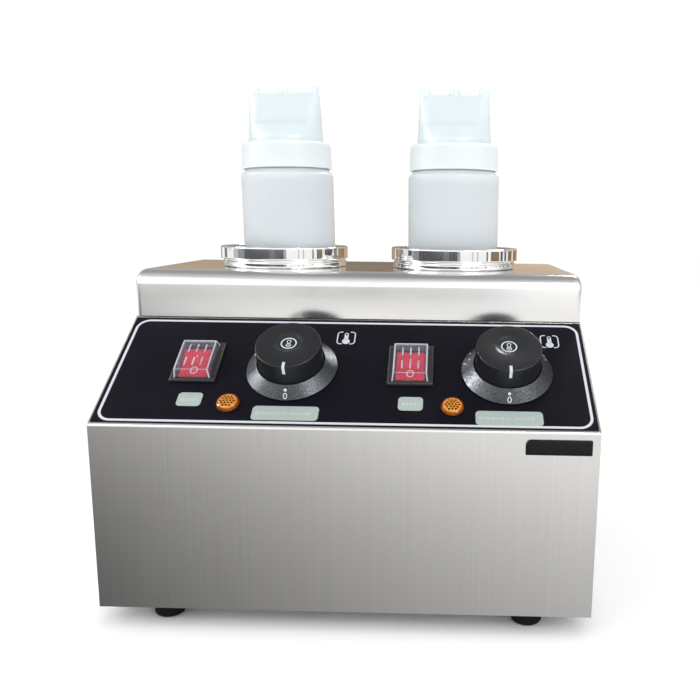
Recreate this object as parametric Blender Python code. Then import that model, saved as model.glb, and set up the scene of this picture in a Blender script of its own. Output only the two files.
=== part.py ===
"""Two-well electric sauce bottle warmer with two three-tip squeeze bottles.

A folded stainless casing with a sloping control panel carries two heated wells under a drawn
hood. Each well has its own rocker switch, pilot lamp and thermostat knob, and holds one bottle.

Every length is in millimetres; MM turns it into metres when a mesh or a location is made.
The world frame has +X to the right, +Y to the back and +Z up, with the origin on the floor
under the middle of the object's box. Pieces on the sloping panel hang under an empty whose
X runs to the right, Y up the slope and Z out of the panel.
"""

import math

import bmesh
import bpy
from mathutils import Matrix, Vector

MM = 0.001
GAP = 0.3                      # clearance between solids that touch in the real object
SHEET = 1.0                    # stainless sheet of the casing

# Casing
WIDTH = 310.0
DEPTH = 233.1
FRONT_HEIGHT = 119.2           # upright front face, up to the fold
SLOPE_RUN = 82.6               # control panel, measured level
SLOPE_RISE = 54.9              # control panel, measured upright
HOOD_HEIGHT = 33.1             # upright hood face above the control panel
HOOD_ROUND = 10.0              # rounding along the hood's upper edges
HOOD_SIDE_ROUND = 4.4          # how far that rounding reaches in from the hood's sides
HOOD_CORNER = 4.0              # rounding of the hood's upright corners
FOOT_HEIGHT = 12.0
FOOT_RADIUS = 10.0
FOOT_SET_IN = (38.5, 18.0)     # foot axis, in from the side and in from the front or back
FLANGE = 12.0                  # folded flanges inside the casing

# Wells
WELL_PITCH = 131.4
WELL_MIDDLE_X = 2.0
WELL_SET_BACK = 151.9          # well axis behind the front face
WELL_RADIUS = 43.0             # inside
WELL_DEPTH = 123.2             # floor of the well below the hood's top sheet
RING_RADIUS = 48.3
RING_HEIGHT = 15.4             # rim ring above the top sheet

# Bottles, from their base upwards
BOTTLE_BASE = -122.0           # bottle base, measured from the hood's top sheet
BOTTLE_RADIUS = 34.5
BOTTLE_WALL = 1.2
SHOULDER_HEIGHT = 190.3
NECK_RADIUS = 30.2
NECK_TOP = 209.3
COLLAR_BOTTOM = 194.6
COLLAR_TOP = 213.7
COLLAR_RADIUS = 33.6
HEAD_RADIUS = 27.8
HEAD_TOP = 249.8
TIP_TOP = 254.4
TIP_SPACING = 22.0
BOTTLE_SIDES = 24              # facets round the bottle, its collar and its nozzle head
# base offset from the well axis (x, y) and sideways lean in degrees, to the left when negative
BOTTLE_STANCE = {"left": (7.1, -2.5, -1.05), "right": (-0.4, 2.5, -0.3)}

# Control panel, in the panel's own axes
UNIT_PITCH = 139.0
KNOB_X = -37.7                 # left knob; the right one is a unit pitch further
KNOB_V = 50.1
KNOB_RADIUS = 20.7
KNOB_TOP = 22.2
SKIRT_RADIUS = 29.3
SKIRT_RISE = 7.9
SWITCH_FROM_KNOB = -62.2
SWITCH_V = 53.7
SWITCH_FRAME = (29.6, 35.8)
SWITCH_BODY = (22.0, 30.0)
BODY_V = -1.2                  # body behind the frame, up the slope from its centre
ROCKER_SIZE = (18.3, 22.6)
ROCKER_V = -2.6                # rocker and its pin, up the slope from the frame's centre
COVER_V = -0.6                 # splash cover, up the slope from the frame's centre
ROCKER_TILT = 9.5              # degrees each side of level
ROCKER_PIVOT_H = 0.5
LAMP_FROM_KNOB = -35.2
LAMP_V = 18.3
LAMP_RADIUS = 7.5
BADGE_SIZE = (39.9, 1.2, 9.4)
BADGE_X = 130.2
BADGE_Z = 110.0                # badge centre above the casing's bottom edge

# Cable entry in the back panel; the supply lead itself is not part of this object
GLAND_X = 95.0
GLAND_Z = 38.0
GLAND_REACH = 20.0

BADGE_REACH = BADGE_SIZE[1] + GAP
SLOPE = math.atan2(SLOPE_RISE, SLOPE_RUN)
SLOPE_LENGTH = math.hypot(SLOPE_RUN, SLOPE_RISE)
FRONT_Y = -(DEPTH + GLAND_REACH - BADGE_REACH) / 2
BACK_Y = FRONT_Y + DEPTH
BOTTOM_Z = FOOT_HEIGHT
TOP_Z = BOTTOM_Z + FRONT_HEIGHT + SLOPE_RISE + HOOD_HEIGHT
HOOD_BOTTOM_Z = BOTTOM_Z + FRONT_HEIGHT + SLOPE_RISE + 1.0
WELL_Y = FRONT_Y + WELL_SET_BACK
INSET = SHEET + GAP            # from the outer face of one sheet to the next piece inside it
SIDES = {"left": -1, "right": 1}

STEEL = (0.62, 0.61, 0.59)
CHROME = (0.80, 0.80, 0.80)
BLACK = (0.02, 0.02, 0.022)


# ---------------------------------------------------------------- mesh helpers

def arc(centre, radius, start, end, steps):
    """Points on a circle in the plane of a profile, angles in degrees."""
    angles = [math.radians(start + (end - start) * i / steps) for i in range(steps + 1)]
    return [(centre[0] + radius * math.cos(a), centre[1] + radius * math.sin(a)) for a in angles]


def rounded_rectangle(half_x, half_y, radius, steps=4):
    """Counter-clockwise outline of a rectangle with round corners."""
    outline = []
    for sign_x, sign_y, start in ((1, 1, 0), (-1, 1, 90), (-1, -1, 180), (1, -1, 270)):
        centre = (sign_x * (half_x - radius), sign_y * (half_y - radius))
        outline += arc(centre, radius, start, start + 90, steps)
    return outline


def circle(radius, steps):
    """Counter-clockwise points of a circle."""
    return arc((0, 0), radius, 0, 360 * (steps - 1) / steps, steps - 1)


def bridge(bm, first, second):
    """Faces between two rings of vertices; a ring of one vertex is a pole."""
    count = max(len(first), len(second))
    for i in range(count):
        j = (i + 1) % count
        corners = [first[i % len(first)], first[j % len(first)],
                   second[j % len(second)], second[i % len(second)]]
        face = list(dict.fromkeys(corners))
        if len(face) > 2:
            bm.faces.new(face)


def turned(profile, steps=28):
    """Solid of revolution about Z from a closed profile of (radius, height) points."""
    bm = bmesh.new()
    rings = []
    for radius, height in profile:
        spots = circle(radius, steps) if radius > 0 else [(0.0, 0.0)]
        rings.append([bm.verts.new((x, y, height)) for x, y in spots])
    for first, second in zip(rings, rings[1:] + rings[:1]):
        if len(first) > 1 or len(second) > 1:
            bridge(bm, first, second)
    return bm


def lofted(loops):
    """Solid through rings of 3-D points, closed by a face on the first and the last ring."""
    bm = bmesh.new()
    rings = [[bm.verts.new(point) for point in loop] for loop in loops]
    for first, second in zip(rings, rings[1:]):
        bridge(bm, first, second)
    bm.faces.new(rings[0])
    bm.faces.new(rings[-1])
    return bm


def prism(outline, start, end, axis="Z"):
    """Extrusion of a 2-D outline along an axis; the outline lies in the other two, in order."""
    place = {
        "X": lambda p, s: (s, p[0], p[1]),
        "Y": lambda p, s: (p[0], s, p[1]),
        "Z": lambda p, s: (p[0], p[1], s),
    }[axis]
    return lofted([[place(p, start) for p in outline], [place(p, end) for p in outline]])


def box(low, high):
    """Rectangular block between two corners."""
    outline = [(low[0], low[1]), (high[0], low[1]), (high[0], high[1]), (low[0], high[1])]
    return prism(outline, low[2], high[2])


def tube(points, radius, sides=6):
    """Round bar of small section along a list of 3-D points."""
    path = [Vector(p) for p in points]
    loops = []
    side = None
    for i, point in enumerate(path):
        along = (path[min(i + 1, len(path) - 1)] - path[max(i - 1, 0)]).normalized()
        if side is None:
            side = along.orthogonal().normalized()
        side = (side - along * side.dot(along)).normalized()
        other = along.cross(side)
        loops.append([tuple(point + radius * (x * side + y * other)) for x, y in circle(1.0, sides)])
    return lofted(loops)


def merged(parts):
    """One mesh with every given mesh in it, as separate closed bodies."""
    bm = bmesh.new()
    for part in parts:
        mesh = bpy.data.meshes.new("merge")
        part.to_mesh(mesh)
        part.free()
        bm.from_mesh(mesh)
        bpy.data.meshes.remove(mesh)
    return bm


def moved(bm, offset, turn_axis=None, turn_degrees=0.0):
    """The same mesh, turned about an axis through the origin and then shifted."""
    if turn_axis:
        bm.transform(Matrix.Rotation(math.radians(turn_degrees), 4, turn_axis))
    bm.transform(Matrix.Translation(offset))
    return bm


def smooth_path(points, steps=6):
    """Catmull-Rom curve through the given points."""
    path = [Vector(p) for p in points]
    ends = [path[0] * 2 - path[1]] + path + [path[-1] * 2 - path[-2]]
    curve = []
    for a, b, c, d in zip(ends, ends[1:], ends[2:], ends[3:]):
        for i in range(steps):
            t = i / steps
            curve.append(0.5 * (2 * b + (c - a) * t + (2 * a - 5 * b + 4 * c - d) * t ** 2
                                + (3 * b - a - 3 * c + d) * t ** 3))
    return curve + [path[-1]]


def bent_sheet(corners, bend, thickness, steps=4):
    """Outline of a folded sheet whose outer face runs through the corners, to its left."""
    points = [Vector(p) for p in corners]
    outer = [(points[0], (points[1] - points[0]).normalized())]
    for before, corner, after in zip(points, points[1:], points[2:]):
        a = (corner - before).normalized()
        b = (after - corner).normalized()
        turn = a.angle_signed(b)
        # the bend radius is that of the outer face: larger where the sheet folds inwards
        radius = bend if turn > 0 else bend + thickness
        reach = radius * math.tan(abs(turn) / 2)
        for i in range(steps + 1):
            share = i / steps
            direction = Matrix.Rotation(-turn * share, 2) @ a
            swing = turn * share
            along = radius * math.sin(abs(swing))
            across = radius * (1 - math.cos(swing))
            right = Vector((a.y, -a.x)) * (1 if turn > 0 else -1)
            outer.append((corner - a * reach + a * along + right * across, direction))
    outer.append((points[-1], (points[-1] - points[-2]).normalized()))
    inner = [p + Vector((d.y, -d.x)) * thickness for p, d in outer]
    return [tuple(p) for p, _ in outer] + [tuple(p) for p in reversed(inner)]


# ---------------------------------------------------------------- object helpers

def add(name, bm, colour, roughness, metallic=0.0, parent=None, location=(0, 0, 0), turn=(0, 0, 0)):
    """Named object from a mesh in millimetres, with a material of its own."""
    bmesh.ops.recalc_face_normals(bm, faces=bm.faces)
    bm.transform(Matrix.Scale(MM, 4))
    mesh = bpy.data.meshes.new(name)
    bm.to_mesh(mesh)
    bm.free()
    mesh.shade_smooth()
    mesh.set_sharp_from_angle(angle=math.radians(35))
    material = bpy.data.materials.new(name)
    material.use_nodes = True
    shader = material.node_tree.nodes["Principled BSDF"]
    shader.inputs["Base Color"].default_value = (*colour, 1.0)
    shader.inputs["Roughness"].default_value = roughness
    shader.inputs["Metallic"].default_value = metallic
    mesh.materials.append(material)
    thing = bpy.data.objects.new(name, mesh)
    bpy.context.scene.collection.objects.link(thing)
    thing.parent = parent
    thing.location = Vector(location) * MM
    thing.rotation_euler = [math.radians(angle) for angle in turn]
    return thing


def guide(name, location, turn=(0, 0, 0)):
    """Empty that pieces hang under."""
    empty = bpy.data.objects.new(name, None)
    bpy.context.scene.collection.objects.link(empty)
    empty.location = Vector(location) * MM
    empty.rotation_euler = [math.radians(angle) for angle in turn]
    return empty


def tool(name, bm, parent=None, location=(0, 0, 0)):
    """Boolean operand, left out of the finished model."""
    thing = add(name, bm, (0.5, 0.5, 0.5), 0.5, parent=parent, location=location)
    thing.hide_render = True
    thing.display_type = "WIRE"
    return thing


def combine(target, operand, operation="DIFFERENCE"):
    """Boolean modifier on the target."""
    modifier = target.modifiers.new(operation.lower(), "BOOLEAN")
    modifier.operation = operation
    modifier.solver = "EXACT"
    modifier.object = operand


# ---------------------------------------------------------------- fasteners and their holes

SCREW_RADIUS = 2.0
SCREW_HOLE = 2.4
SCREW_HEAD = (3.8, 1.9)
SCREW_LENGTH = 6.0


def hood_screw_places():
    """Position on the outer face and outward direction of the hood's screws, by name."""
    places = {}
    for name, side in SIDES.items():
        for row, set_back in (("front", 122.0), ("back", 204.0)):
            position = (side * WIDTH / 2, FRONT_Y + set_back, HOOD_BOTTOM_Z + 8.0)
            places[f"{row}_{name}"] = (position, "X", side)
    return places


def screw_places():
    """Position on the outer face and outward direction of every screw hole in the casing."""
    places = list(hood_screw_places().values())
    for side in SIDES.values():
        for set_back in (45.0, 190.0):
            places.append(((side * WIDTH / 2, FRONT_Y + set_back, BOTTOM_Z + 7.0), "X", side))
        for height in (22.0, 92.0, 162.0):
            places.append(((side * (WIDTH / 2 - 8.0), BACK_Y, BOTTOM_Z + height), "Y", 1))
    return places


def along_axis(bm, place):
    """Turn a mesh made along +Z to a screw's direction and put it at its place."""
    position, axis, sign = place
    if axis == "X":
        return moved(bm, position, "Y", 90 * sign)
    return moved(bm, position, "X", -90 * sign)


def screw():
    """Pan-head screw along Z, its head's seat at the origin plus the gap."""
    head, rise = SCREW_HEAD
    profile = [(0, GAP + rise), (head * 0.7, GAP + rise * 0.85), (head, GAP), (SCREW_RADIUS, GAP),
               (SCREW_RADIUS, -SCREW_LENGTH), (0, -SCREW_LENGTH)]
    return turned(profile, 10)


def screw_holes():
    """Clearance holes for every casing screw, as one operand."""
    holes = [along_axis(prism(circle(SCREW_HOLE, 10), -5.0, 5.0), place) for place in screw_places()]
    return tool("screw_hole_cutter", merged(holes))


# ---------------------------------------------------------------- casing

def make_front_panel(holes):
    """Upright face and control slope, folded from one sheet, with a flange up behind the hood."""
    slope_end = SLOPE_RUN + INSET + 2.0
    slope_end_z = FRONT_HEIGHT + slope_end * math.tan(SLOPE)
    corners = [(0, 0), (0, FRONT_HEIGHT), (slope_end, slope_end_z), (slope_end, slope_end_z + 14.0)]
    outline = [(FRONT_Y + y, BOTTOM_Z + z) for y, z in bent_sheet(corners, 2.5, SHEET)]
    panel = add("front_panel", prism(outline, -WIDTH / 2, WIDTH / 2, "X"), STEEL, 0.35, 1.0)
    combine(panel, holes)
    # the flange stops short of the hood's side walls and round corners
    notch = WIDTH / 2 - 2 * HOOD_CORNER
    corner = (FRONT_Y + SLOPE_RUN + 0.6, HOOD_BOTTOM_Z - 0.2)
    notches = [box((side * notch if side > 0 else -WIDTH, corner[0], corner[1]),
                   (WIDTH if side > 0 else side * notch, corner[0] + 20, corner[1] + 20))
               for side in SIDES.values()]
    combine(panel, tool("flange_notch_cutter", merged(notches)))


def make_side_panels(holes):
    """Flat cheeks behind the front sheet, each with a flange that the back panel is screwed to."""
    drop = INSET / math.cos(SLOPE)
    rise = math.tan(SLOPE)
    top = HOOD_BOTTOM_Z - BOTTOM_Z - GAP
    back = DEPTH - INSET
    corners = [(INSET, 0), (back, 0), (back, top), ((top - FRONT_HEIGHT + drop) / rise, top),
               (INSET, FRONT_HEIGHT + INSET * rise - drop)]
    outline = [(FRONT_Y + y, BOTTOM_Z + z) for y, z in corners]
    for name, side in SIDES.items():
        outer = side * WIDTH / 2
        plate = prism(outline, min(outer, outer - side * SHEET), max(outer, outer - side * SHEET), "X")
        panel = add(f"side_panel_{name}", plate, STEEL, 0.35, 1.0)
        inner = outer - side * (SHEET + FLANGE)
        near = outer - side * SHEET / 2
        flange = box((min(inner, near), FRONT_Y + back - SHEET, BOTTOM_Z + 14.0),
                     (max(inner, near), FRONT_Y + back - 0.01, BOTTOM_Z + top - 2.0))
        combine(panel, tool(f"side_flange_{name}_shape", flange), "UNION")
        combine(panel, holes)


def slot_cutters(rows, columns, size, pitch, centre, axis):
    """Grid of rounded ventilation slots that cuts through along an axis."""
    slots = []
    shape = rounded_rectangle(size[0] / 2, size[1] / 2, size[1] * 0.45, 1)
    for row in range(rows):
        for column in range(columns):
            u = centre[0] + (column - (columns - 1) / 2) * pitch[0]
            v = centre[1] + (row - (rows - 1) / 2) * pitch[1]
            outline = [(u + x, v + y) for x, y in shape]
            slots.append(prism(outline, centre[2] - 3, centre[2] + 3, axis))
    return slots


def make_back_panel(holes):
    """Flat back with two banks of slots and the cable entry."""
    back = box((-WIDTH / 2, BACK_Y - SHEET, BOTTOM_Z), (WIDTH / 2, BACK_Y, HOOD_BOTTOM_Z - GAP))
    panel = add("back_panel", back, STEEL, 0.38, 1.0)
    slots = slot_cutters(6, 2, (44.0, 3.6), (62.0, 9.0), (0.0, BOTTOM_Z + 124.0, BACK_Y), "Y")
    entry_outline = [(GLAND_X + x, BOTTOM_Z + GLAND_Z + z) for x, z in circle(8.3, 24)]
    entry = prism(entry_outline, BACK_Y - 5, BACK_Y + 5, "Y")
    combine(panel, tool("back_cutter", merged(slots + [entry])))
    combine(panel, holes)


def make_base_plate(holes):
    """Bottom tray with its edges folded up inside the casing."""
    half_x = WIDTH / 2 - INSET
    low = (-half_x, FRONT_Y + INSET, BOTTOM_Z)
    high = (half_x, BACK_Y - 2 * INSET, BOTTOM_Z + FLANGE)
    tray = add("base_plate", box(low, high), STEEL, 0.4, 1.0)
    hollow = box([v + SHEET for v in low], (high[0] - SHEET, high[1] - SHEET, high[2] + 5))
    combine(tray, tool("base_hollow_cutter", hollow))
    slots = slot_cutters(5, 2, (50.0, 4.0), (120.0, 12.0), (0.0, 10.0, BOTTOM_Z), "Z")
    bolts = [moved(prism(circle(SCREW_HOLE, 10), -3, 3), (*spot, BOTTOM_Z))
             for spot in foot_places().values()]
    combine(tray, tool("base_cutter", merged(slots + bolts)))
    combine(tray, holes)


def hood_ring(inset, height, skin=0.0):
    """Plan outline of the hood at a height, drawn in by the inset; less at the sides."""
    share = (HOOD_SIDE_ROUND - skin) / (HOOD_ROUND - skin)
    half_x = WIDTH / 2 - skin - (inset - skin) * share
    half_y = (DEPTH - SLOPE_RUN) / 2 - inset
    middle = FRONT_Y + (SLOPE_RUN + DEPTH) / 2
    corner = HOOD_CORNER if inset < SHEET else HOOD_CORNER - 0.5
    outline = rounded_rectangle(half_x, half_y, corner, 3)
    return [(x, middle + y, height) for x, y in outline]


def make_top_cover(holes):
    """Drawn hood: one skin with rounded upper edges and a hole for each well."""
    steps = 4
    outer = [hood_ring(HOOD_ROUND - x, TOP_Z - HOOD_ROUND + z)
             for x, z in arc((0, 0), HOOD_ROUND, 90, 0, steps)]
    inner = [hood_ring(HOOD_ROUND - x, TOP_Z - HOOD_ROUND + z, SHEET)
             for x, z in arc((0, 0), HOOD_ROUND - SHEET, 0, 90, steps)]
    skin = outer + [hood_ring(0, HOOD_BOTTOM_Z), hood_ring(SHEET, HOOD_BOTTOM_Z, SHEET)] + inner
    cover = add("top_cover", lofted(skin), STEEL, 0.3, 1.0)
    wells = [moved(prism(circle(WELL_RADIUS + 1.6, 28), -10, 10), (*well_axis(name), TOP_Z))
             for name in SIDES]
    combine(cover, tool("well_hole_cutter", merged(wells)))
    combine(cover, holes)


def make_seam_brackets(holes):
    """Strips inside the side seams that the hood's screws go into."""
    for name, side in SIDES.items():
        outer = side * (WIDTH / 2 - INSET)
        inner = outer - side * 1.5
        strip = box((min(outer, inner), FRONT_Y + 100, HOOD_BOTTOM_Z - 14),
                    (max(outer, inner), FRONT_Y + 222, HOOD_BOTTOM_Z + 16))
        combine(add(f"seam_bracket_{name}", strip, STEEL, 0.45, 1.0), holes)


def make_hood_screws():
    """Pan-head screws that hold the hood on its brackets."""
    for name, place in hood_screw_places().items():
        add(f"hood_screw_{name}", along_axis(screw(), place), STEEL, 0.3, 1.0)


def foot_places():
    """Axis of each foot, by name."""
    spots = {}
    for row, y in (("front", FRONT_Y + FOOT_SET_IN[1]), ("back", BACK_Y - FOOT_SET_IN[1])):
        for name, side in SIDES.items():
            spots[f"{row}_{name}"] = (side * (WIDTH / 2 - FOOT_SET_IN[0]), y)
    return spots


def make_feet():
    """Moulded rubber feet whose barbed stems snap through the base plate."""
    stem = SCREW_RADIUS
    top = FOOT_HEIGHT - GAP
    barb = FOOT_HEIGHT + SHEET + GAP
    profile = [(0, barb + 5.0), (1.2, barb + 5.0), (3.3, barb), (stem, barb), (stem, top),
               (FOOT_RADIUS, top), *arc((7.2, 2.8), 2.8, 0, -90, 2), (3.6, 0), (2.8, 2.5), (0, 2.5)]
    for name, spot in foot_places().items():
        add(f"foot_{name}", turned(profile, 16), BLACK, 0.8, location=(*spot, 0))


def make_plates():
    """Blank badge on the front and blank rating plate on the back."""
    width, thick, height = BADGE_SIZE
    outline = [(BADGE_X + x, BOTTOM_Z + BADGE_Z + z)
               for x, z in rounded_rectangle(width / 2, height / 2, 1.4, 3)]
    badge = prism(outline, FRONT_Y - GAP - thick, FRONT_Y - GAP, "Y")
    add("badge_plate", badge, BLACK, 0.2)
    outline = [(-85.0 + x, BOTTOM_Z + 45.0 + z) for x, z in rounded_rectangle(32.0, 19.0, 2.0, 3)]
    add("rating_plate", prism(outline, BACK_Y + GAP, BACK_Y + GAP + 0.6, "Y"), (0.75, 0.75, 0.73), 0.4, 1.0)


# ---------------------------------------------------------------- wells and heating

def well_axis(name):
    """Plan position of a well."""
    return WELL_MIDDLE_X + SIDES[name] * WELL_PITCH / 2, WELL_Y


def make_well(name):
    """Drawn pot that hangs by its lip in a turned rim ring."""
    axis = (*well_axis(name), TOP_Z)
    inside = WELL_RADIUS
    outside = WELL_RADIUS + SHEET
    floor = -WELL_DEPTH
    corner = 9.0
    lip = (45.4, RING_HEIGHT)
    pot = [(0, floor), *arc((inside - corner, floor + corner), corner, -90, 0, 2), (inside, lip[1]), lip,
           (lip[0], lip[1] - 1.0), (outside, lip[1] - 1.0),
           *arc((inside - corner, floor + corner), corner + SHEET, 0, -90, 2), (0, floor - SHEET)]
    add(f"well_pot_{name}", turned(pot), STEEL, 0.25, 1.0, location=axis)

    seat = lip[0] + GAP
    bore = outside + GAP
    outer = RING_RADIUS
    ring = [(seat, RING_HEIGHT), (outer - 0.8, RING_HEIGHT), (outer, RING_HEIGHT - 0.8),
            (outer, 6.6), (outer - 2.2, 5.8), (outer - 2.2, 5.0), (outer - 1.5, 3.8),
            (outer - 1.5, 1.4), (outer - 2.2, GAP), (bore, GAP), (bore, RING_HEIGHT - 1.0 - GAP),
            (seat, RING_HEIGHT - 1.0 - GAP)]
    add(f"rim_ring_{name}", turned(ring), CHROME, 0.08, 1.0, location=axis)


def split_ring(inner, outer, gap_degrees, ear):
    """Plan outline of a ring that is open at the back, with an ear beside the opening."""
    start = 90 + gap_degrees
    end = 450 - gap_degrees
    outline = arc((0, 0), outer, start, end, 20)
    if ear:
        first = Vector(outline[0])
        last = Vector(outline[-1])
        # each ear stands straight out from the ring's end
        outline = outline[1:-1]
        tip = Vector((0, ear))
        outline = [tuple(first + tip), tuple(first + tip - Vector((1.6, 0))),
                   (first.x - 1.6, first.y + 0.6)] + outline
        outline += [(last.x + 1.6, last.y + 0.6), tuple(last + tip + Vector((1.6, 0))), tuple(last + tip)]
    return outline + arc((0, 0), inner, end, start, 20)


def make_heating(name):
    """Band heater, lagging and safety cut-out of one well."""
    axis = (*well_axis(name), TOP_Z)
    wall = WELL_RADIUS + SHEET + 3 * GAP
    band = prism(split_ring(wall, wall + 2.2, 4.0, 8.0), -112.0, -62.0)
    add(f"heater_band_{name}", band, (0.45, 0.42, 0.36), 0.5, 0.8, location=axis)
    lagging = prism(split_ring(wall + 2.8, wall + 12.0, 15.0, 0.0), -114.0, -58.0)
    add(f"insulation_{name}", lagging, (0.78, 0.76, 0.68), 0.95, location=axis)
    under = -WELL_DEPTH - SHEET - GAP
    disc = [(0, under), (8.0, under), (8.0, under - 4.0), (5.5, under - 4.0),
            (5.5, under - 8.5), (0, under - 8.5)]
    add(f"thermal_cutout_{name}", turned(disc, 16), (0.10, 0.09, 0.08), 0.5, location=axis)


def panel_point(x, v, h):
    """World position of a point given in the control panel's own axes."""
    return (x, FRONT_Y + v * math.cos(SLOPE) - h * math.sin(SLOPE),
            BOTTOM_Z + FRONT_HEIGHT + v * math.sin(SLOPE) + h * math.cos(SLOPE))


def make_sensor(name):
    """Liquid-filled bulb against the pot with its capillary from the thermostat."""
    x, y = well_axis(name)
    bulb_y = y - WELL_RADIUS - SHEET - GAP - 3.2
    bulb = moved(prism(circle(3.0, 10), -50.0, -12.0), (x, bulb_y, TOP_Z))
    knob_x = knob_place(name)[0]
    start = panel_point(knob_x + 11.0, KNOB_V, THERMOSTAT_BOTTOM - 3 * GAP)
    middle = panel_point(knob_x + 20.0, KNOB_V + 6.0, THERMOSTAT_BOTTOM - 14.0)
    end = (x, bulb_y, TOP_Z - 46.0)
    below = (x, bulb_y - 2.0, TOP_Z - 53.0)
    dip = (x + 6.0, bulb_y - 14.0, TOP_Z - 55.0)
    lead = tube(smooth_path([start, middle, dip, below, end], 3), 0.8, 5)
    sensor = add(f"sensor_bulb_{name}", bulb, (0.72, 0.45, 0.25), 0.35, 1.0)
    combine(sensor, tool(f"capillary_{name}_shape", lead), "UNION")


# ---------------------------------------------------------------- control panel

THERMOSTAT_TOP = -1.3
THERMOSTAT_BOTTOM = -24.0
SPINDLE_RADIUS = 2.9
OVERLAY = (GAP, 2 * GAP)       # heights of the overlay film's two faces
SEAT = OVERLAY[1] + GAP        # lowest face of what sits on the overlay


def knob_place(name):
    """Knob centre on the panel."""
    return KNOB_X + (UNIT_PITCH if name == "right" else 0.0), KNOB_V


def panel_openings():
    """Holes for both sets of controls, right through the panel and the overlay."""
    holes = []
    for name in SIDES:
        knob_x, knob_v = knob_place(name)
        half_x = SWITCH_BODY[0] / 2 + GAP
        half_v = SWITCH_BODY[1] / 2 + GAP
        switch_x = knob_x + SWITCH_FROM_KNOB
        body_v = SWITCH_V + BODY_V
        holes.append(box((switch_x - half_x, body_v - half_v, -6),
                         (switch_x + half_x, body_v + half_v, 6)))
        holes.append(moved(prism(circle(5.9, 20), -6, 6), (knob_x + LAMP_FROM_KNOB, LAMP_V, 0)))
        holes.append(moved(prism(circle(5.0, 16), -6, 6), (knob_x, knob_v, 0)))
    return holes


def make_overlay(panel, openings):
    """Printed film over the control slope."""
    margin = 1.2
    low = (-WIDTH / 2 + margin, 2.2, OVERLAY[0])
    high = (WIDTH / 2 - margin, SLOPE_LENGTH - 1.0, OVERLAY[1])
    film = add("control_overlay", box(low, high), (0.012, 0.010, 0.018), 0.35, parent=panel)
    combine(film, openings)


def make_switch(name, panel):
    """Rocker switch: framed housing, rocker on its cross pin, and clear splash cover."""
    place = (knob_place(name)[0] + SWITCH_FROM_KNOB, SWITCH_V, 0)
    frame_x, frame_v = SWITCH_FRAME
    frame_top = SEAT + 2.1
    body_x, body_v = SWITCH_BODY
    bezel = box((-frame_x / 2, -frame_v / 2, SEAT), (frame_x / 2, frame_v / 2, frame_top))
    housing = add(f"switch_housing_{name}", bezel, BLACK, 0.45, parent=panel, location=place)
    block = box((-body_x / 2, BODY_V - body_v / 2, -22.0),
                (body_x / 2, BODY_V + body_v / 2, SEAT + 1.0))
    combine(housing, tool(f"switch_block_{name}_shape", block, panel, place), "UNION")
    half_x = ROCKER_SIZE[0] / 2 + GAP
    half_v = ROCKER_SIZE[1] / 2 + 1.0
    well = box((-half_x, ROCKER_V - half_v, -8.0), (half_x, ROCKER_V + half_v, frame_top + 3))
    pin_outline = [(ROCKER_V + v, ROCKER_PIVOT_H + h) for v, h in circle(1.5, 12)]
    pin_hole = prism(pin_outline, -10.4, 10.4, "X")
    combine(housing, tool(f"switch_well_{name}_cutter", well, panel, place))
    combine(housing, tool(f"switch_pin_{name}_cutter", pin_hole, panel, place))

    end = ROCKER_SIZE[1] / 2
    profile = [(-end, 4.8), (0, 3.1), (end, 4.8), (end, 0.3), (4.0, -3.0), (-4.0, -3.0), (-end, 0.3)]
    rocker = prism(profile, -ROCKER_SIZE[0] / 2, ROCKER_SIZE[0] / 2, "X")
    pivot = (place[0], place[1] + ROCKER_V, ROCKER_PIVOT_H)
    # at rest the lower end is pressed in, which is the off position
    key = add(f"rocker_{name}", rocker, (0.55, 0.02, 0.04), 0.3, parent=panel, location=pivot,
              turn=(ROCKER_TILT, 0, 0))
    pin = tool(f"rocker_pin_{name}_shape", prism(circle(1.2, 12), -10.1, 10.1, "X"), panel, pivot)
    combine(key, pin, "UNION")

    skirt_z = frame_top + GAP
    shell = [(11.0, 13.5, 9.0), (11.7, 15.5, skirt_z), (10.9, 14.7, skirt_z), (10.2, 12.7, 8.2)]
    loops = [[(x, COVER_V + v, h) for x, v in rounded_rectangle(sx, sv, 1.6, 3)]
             for sx, sv, h in shell]
    add(f"splash_cover_{name}", lofted(loops), (0.85, 0.88, 0.9), 0.1, parent=panel, location=place)


def make_lamp(name, panel):
    """Pilot lamp: domed amber lens with a stem in a holder behind the panel."""
    place = (knob_place(name)[0] + LAMP_FROM_KNOB, LAMP_V, 0)
    stem = 5.5
    lens = [(0, 4.2), (3.6, 3.9), (6.2, 2.9), (LAMP_RADIUS, SEAT + 0.6), (LAMP_RADIUS, SEAT), (stem, SEAT),
            (stem, -4.0), (0, -4.0)]
    add(f"indicator_lens_{name}", turned(lens, 20), (0.9, 0.25, 0.01), 0.15, parent=panel, location=place)
    holder = [(stem + GAP, -INSET), (7.2, -INSET), (7.2, -20.0), (0, -20.0), (0, -4.0 - GAP),
              (stem + GAP, -4.0 - GAP)]
    add(f"indicator_body_{name}", turned(holder, 16), BLACK, 0.5, parent=panel, location=place)


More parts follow.
